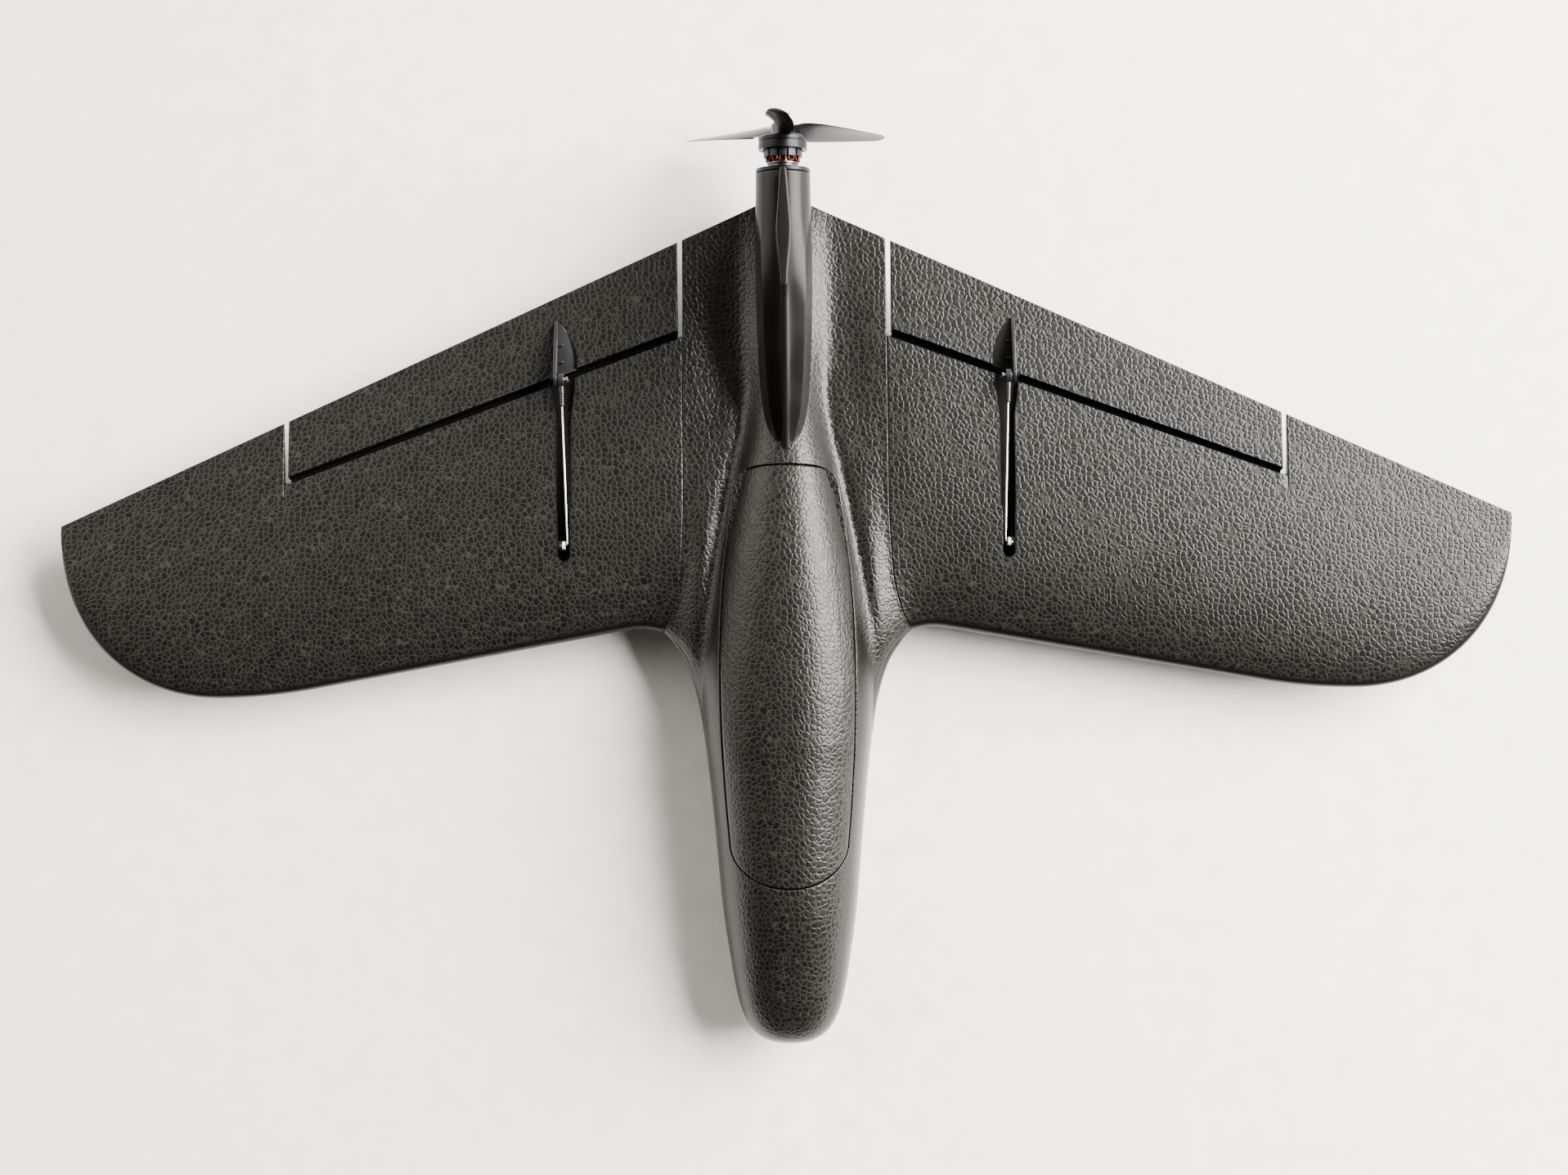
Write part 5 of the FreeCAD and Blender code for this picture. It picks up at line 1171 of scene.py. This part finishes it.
windings = [loop for shape in winding() for loop in around(shape, 12)]
washer = collar("washer", WASHER_Y, NUT_Y, 5.6, 0.2)
prop_nut = hex_nut(8.0, 2.52, NUT_Y, 268.3, MOTOR_AT, (0, 1, 0))
finish_piece("motor_mount_ring", motor_mount(), "black_metal", "airframe", "motor_mount")
finish_piece("motor_base_turned", motor_base(), "bare_aluminium", "airframe", "motor_base")
finish_piece("copper_windings", mesh_of("wire_loops", windings), "copper", "airframe", "stator_windings", 60)
finish_piece("motor_bell_cup", motor_bell(), "black_metal", "rotor", "motor_bell")
finish_piece("motor_shaft_turned", motor_shaft(), "steel", "rotor", "motor_shaft", 25)
finish_piece("propeller_blades", propeller(), "propeller_plastic", "rotor", "propeller", 50)
finish_piece("prop_washer_ring", washer, "dark_steel", "rotor", "prop_washer")
finish_piece("prop_nut_hex", prop_nut, "dark_steel", "rotor", "prop_nut", 25)


# ------------------------------------------------------------------ control linkage, left side then mirrored
BALL = np.array((129.0, 117.0, 49.0))
ROD_END = np.array((126.5, 21.5, 46.3))
ROD_WAY = (ROD_END - BALL) / np.linalg.norm(ROD_END - BALL)
SERVO_AXIS = np.array((127.8, 21.5, 33.3))


def circle_through(a, b, c, count):
    """Points on the arc from a to c by way of b, in a plane."""
    (ax, ay), (bx, by), (cx, cy) = a, b, c
    aa, bb, cc = ax ** 2 + ay ** 2, bx ** 2 + by ** 2, cx ** 2 + cy ** 2
    d = 2 * (ax * (by - cy) + bx * (cy - ay) + cx * (ay - by))
    ux = (aa * (by - cy) + bb * (cy - ay) + cc * (ay - by)) / d
    uy = (aa * (cx - bx) + bb * (ax - cx) + cc * (bx - ax)) / d
    start, middle, end = [math.atan2(y - uy, x - ux) for x, y in (a, b, c)]
    sweep = (end - start) % (2 * math.pi)
    if (middle - start) % (2 * math.pi) > sweep:
        sweep -= 2 * math.pi
    return arc(ux, uy, math.hypot(ax - ux, ay - uy), start + sweep * np.linspace(0, 1, count))


def control_horn():
    """An upright plate with a rounded crown, on a D-shaped foot with two ribs."""
    crown = circle_through((121.0, 52.6), (116.0, 53.1), (112.9, 48.4), 20)
    line = np.concatenate([[(152.0, 36.0), (152.0, 38.6), (140.0, 45.8), (128.0, 50.3)], crown,
                           [(121.5, 42.0), (122.0, 36.0)]])
    plate = slab("horn_plate", soften(line, 1.2, True), 0.0, 2.0, 0.35, upright(131.4))
    foot = horn_outline()
    foot[:, 1] = np.maximum(foot[:, 1], hinge_y(foot[:, 0], 1.6))
    keep = np.linalg.norm(foot - np.roll(foot, 1, 0), axis=1) > 0.02
    flange = slab("horn_flange", foot[keep], 36.0, 37.2, 0.2)
    ribs = [slab("horn_rib", rounded_box(128.4, 131.6, y - 0.6, y + 0.6, 0.3), 37.0, top, 0.25)
            for y, top in ((128.0, 41.0), (138.0, 39.6))]
    return merged("horn", [plate, flange] + ribs)


def ball_bolt():
    """The ball and its bolt through the horn, with a flat head."""
    side = np.radians(np.linspace(149, 31, 24))
    ball = [(2.4 * math.cos(t), 2.4 * math.sin(t)) for t in side]
    profile = [(-2.9, 0), (-2.9, 0.9), (-3.9, 0.9), (-3.9, 1.9), (-2.8, 1.9), (-2.8, 1.25)] + ball
    profile += [(2.4, 1.25), (2.4, 1.0), (5.7, 1.0), (6.0, 0.75), (6.0, 0)]
    return lathe("ball_bolt", profile, BALL, (1, 0, 0), 0.12, 40)


def ball_link():
    """A moulded eye round the ball, with a ribbed shank for the rod."""
    inner = [(2.45 * math.sin(t), 2.45 * math.cos(t)) for t in np.radians(np.linspace(43, -43, 12))]
    eye = lathe("eye", [(-1.7, 4.0), (1.7, 4.0)] + inner, BALL, (1, 0, 0), 0.4, 56, True)
    shank = [(3.2, 0), (3.2, 1.55)]
    for along in np.arange(8.0, 14.0, 1.5):
        crest = 1.55 - 0.25 * (along - 3) / 12
        valley = crest - 0.14
        shank += [(along, crest), (along + 0.2, valley), (along + 0.7, valley), (along + 0.9, crest)]
    shank += [(15.0, 1.3), (15.0, 0.62), (14.2, 0)]
    return merged("ball_link", [eye, lathe("shank", shank, BALL, ROD_WAY, 0.15, 32)])


def pushrod():
    """Steel rod from the ball link, bent through the arm's top hole and hooked behind it."""
    bend = ROD_END + (4.0, 0, 0)
    route = [BALL + ROD_WAY * 8.0, ROD_END, bend, bend + (0, -1.2, 0)]
    return mesh_of("pushrod", [tube(soften(route, 1.1, False, 7), 0.6)])


def servo_arm():
    """A tapered arm with three holes, on a round hub."""
    root, tip, (arm_x, axis_y, axis_z), tip_z = 2.7, 2.3, SERVO_AXIS, ROD_END[2]
    line = np.concatenate([arc(axis_y, axis_z, root, np.radians(np.linspace(180, 360, 24))),
                           arc(axis_y, tip_z, tip, np.radians(np.linspace(0, 180, 24)))])
    arm = slab("arm", line, 0.0, 1.7, 0.25, upright(arm_x))
    holes = []
    for z, radius in ((tip_z, 1.2), (tip_z - 3.6, 0.5), (tip_z - 6.2, 0.5)):
        profile = [(-2, 0), (-2, radius), (4, radius), (4, 0)]
        holes.append(lathe("hole", profile, (arm_x, axis_y, z), (1, 0, 0), 0.01, 20))
    hub_profile = [(0.2, 0.9), (0.2, 3.0), (4.7, 3.0), (4.7, 0.9)]
    hub = lathe("hub", hub_profile, SERVO_AXIS, (1, 0, 0), 0.3, 40, True)
    return merged("servo_arm", [carve(arm, holes), hub])


def arm_screw():
    """A domed screw with a recess in its head."""
    profile = [(-0.3, 0), (-0.3, 0.5), (-0.9, 0.6), (-0.8, 1.2), (-0.45, 1.7), (0, 1.7), (0, 0.9), (4.7, 0.9),
               (4.7, 0)]
    return lathe("arm_screw", profile, SERVO_AXIS, (1, 0, 0), 0.1, 32)


def servo_case():
    """A small servo on its side: case in three sections with grooves between them."""
    line = rounded_box(15.5, 38.5, 28.6, 38.4, 1.2)
    rings = []
    for x, depth in ((133.0, 0.5), (133.2, 0.15), (133.6, 0.0), (137.2, 0.0), (137.3, 0.25), (137.6, 0.25),
                     (137.7, 0.0), (150.6, 0.0), (150.7, 0.25), (151.0, 0.25), (151.1, 0.0), (154.9, 0.0),
                     (155.3, 0.15), (155.5, 0.5)):
        edge = inset(line, depth)
        rings.append(points(x, edge[:, 0], edge[:, 1]))
    return stack_mesh("servo_case", rings)


def servo_cover():
    """The ribbed cover under the servo."""
    plate = slab("cover_plate", rounded_box(130.2, 158.3, 12.7, 41.3, 2.6), 27.5, 28.5, 0.3)
    ribs = [slab("cover_rib", rounded_box(134.0, 154.5, y - 0.7, y + 0.7, 0.6), 27.15, 27.8, 0.2)
            for y in np.linspace(19.0, 35.0, 5)]
    return merged("servo_cover", [plate] + ribs)


horn_nut = hex_nut(4.0, 1.0, 133.4, 135.0, (0, BALL[1], BALL[2]), (1, 0, 0))
for label, mesh, slot, body, crease in (
        ("control_horn", control_horn(), "black_plastic", "elevon", 40),
        ("ball_bolt", ball_bolt(), "steel", "elevon", 35),
        ("horn_nut", horn_nut, "black_metal", "elevon", 25),
        ("ball_link", ball_link(), "black_plastic", "linkage", 40),
        ("pushrod", pushrod(), "steel", "linkage", 50),
        ("servo_arm", servo_arm(), "white_plastic", "arm", 35),
        ("arm_screw", arm_screw(), "steel", "arm", 30),
        ("servo", servo_case(), "servo_case", None, 30),
        ("servo_cover", servo_cover(), "black_plastic", None, 40)):
    finish_pair(label, "_piece", mesh, slot, body, crease)


# ------------------------------------------------------------------ equipment in the bay
def boxed(node, ending, slot, corner, edge):
    """A box rounded all round, in place of a CAD box."""
    (x0, y0, z0), (x1, y1, z1) = [np.array(end) * 1000 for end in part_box(node)]
    plan = rounded_box(x0, x1, y0, y1, corner, 8)
    mesh = slab(node + ending, plan, z0, z1, edge, turns=(8, 25, 45, 65, 90))
    finish_piece(node + ending, mesh, slot, "airframe", node, 60)


def strap():
    """Webbing round the battery, with a folded-over end."""
    half, low, high, thick = 17.0, 15.4, 43.6, 1.4
    out, under, over = half + thick, low - thick, high + thick
    outer = soften([(-out, under), (out, under), (out, over), (-out, over)], 3.4, True, 8)
    inner = inset(outer, thick)
    y = np.linspace(-81.5, -63.5, 25)
    rows = [points(outer[:, 0], at, outer[:, 1]) for at in y]
    rows += [points(inner[:, 0], at, inner[:, 1]) for at in y[::-1]]
    grid = np.stack(rows + rows[:1])
    band = mesh_of("band", [np.concatenate([grid, grid[:, :1]], axis=1)])
    tab = slab("tab", rounded_box(-9.0, 10.0, -81.0, -64.0, 2.0), over, over + 1.2, 0.4)
    return merged("strap", [band, tab])


boxed("battery", "_pack", "battery_wrap", 4.0, 2.4)
finish_piece("battery_strap_band", strap(), "webbing", "airframe", "battery_strap", 40)
boxed("speed_controller", "_case", "black_plastic", 3.0, 1.6)
boxed("receiver", "_case", "black_plastic", 1.5, 0.8)

# CAD nodes that keep their own shape
for node, slot in (("mount_screws", "dark_steel"), ("motor_bearings", "steel"), ("stator_core", "dark_steel"),
                   ("motor_magnets", "bare_aluminium"), ("main_spar", "carbon"), ("rear_spar", "carbon"),
                   ("battery_tray", "plywood"), ("fuselage_magnets", "bare_aluminium"),
                   ("hatch_magnets", "bare_aluminium")):
    nodes[node].data.materials.clear()
    nodes[node].data.materials.append(FINISHES[slot])


# ------------------------------------------------------------------ floor, light and camera
def studio_floor():
    half = 3.2
    mesh = bpy.data.meshes.new("studio_floor")
    corners = [(-half, -half, 0), (half, -half, 0), (half, half, 0), (-half, half, 0)]
    mesh.from_pydata(corners, [], [(0, 1, 2, 3)])
    mesh.materials.append(moulded("studio_paper", (0.95, 0.945, 0.93), 0.8, 300.0, 0.00002))
    floor = placed("studio_floor", mesh)
    floor.location.z = float(cad_box[0][2])


def area_light(name, place, target, width, height, power, tint):
    """A rectangular light at a place in metres, aimed at a target."""
    data = bpy.data.lights.new(name, "AREA")
    data.shape = "RECTANGLE"
    data.size, data.size_y, data.energy, data.color = width, height, power, tint
    lamp = placed(name, data)
    lamp.location = place
    lamp.rotation_euler = (Vector(target) - Vector(place)).to_track_quat("-Z", "Y").to_euler()


def studio_air(zenith_shift, dark, bright, horizon, tint):
    """Room light: dim above and towards the nose, brighter towards the tail and both sides, with a glow
    low down at both sides that fades towards the nose."""
    world = bpy.data.worlds.new("studio_air")
    world.use_nodes = True
    tree = world.node_tree
    way = add(tree, "ShaderNodeTexCoord").outputs["Generated"]
    part = add(tree, "ShaderNodeSeparateXYZ", {"Vector": way}).outputs
    sideways = add(tree, "ShaderNodeMath", {0: part["X"]}, operation="ABSOLUTE").outputs[0]
    lean = plus(tree, part["Y"], times(tree, sideways, 0.50))
    above = span(tree, lean, -zenith_shift, 0.6 - zenith_shift, dark, bright)
    at_sides = times(tree, span(tree, sideways, 0.15, 0.75, 0.08, 1.0),
                     span(tree, part["Y"], -0.32, 0.04, 0.1, 1.0))
    low = times(tree, span(tree, part["Z"], 0.30, 0.60, horizon, 0.0), at_sides)
    background = tree.nodes["Background"]
    background.inputs["Color"].default_value = (*tint, 1)
    tree.links.new(plus(tree, above, low), background.inputs["Strength"])
    bpy.context.scene.world = world


def camera():
    """The photograph's view: from above, almost square to the wing."""
    data = bpy.data.cameras.new("camera")
    data.lens, data.sensor_width = 59.3, 36.0
    view = placed("camera", data)
    view.location = (-0.0017, -0.004, 1.538)
    view.rotation_euler = (0, 0, math.radians(-0.56))
    bpy.context.scene.camera = view


studio_floor()
studio_air(0.05, 0.015, 0.52, 2.4, (1.0, 0.94, 0.85))
area_light("window", (2.45, 0.95, 1.90), (0.1, 0.0, 0.0), 2.9, 2.5, 1000.0, (1.0, 0.975, 0.94))
area_light("room", (-2.2, 1.3, 1.5), (0.0, 0.0, 0.0), 2.4, 2.0, 42.0, (1.0, 0.95, 0.88))
camera()
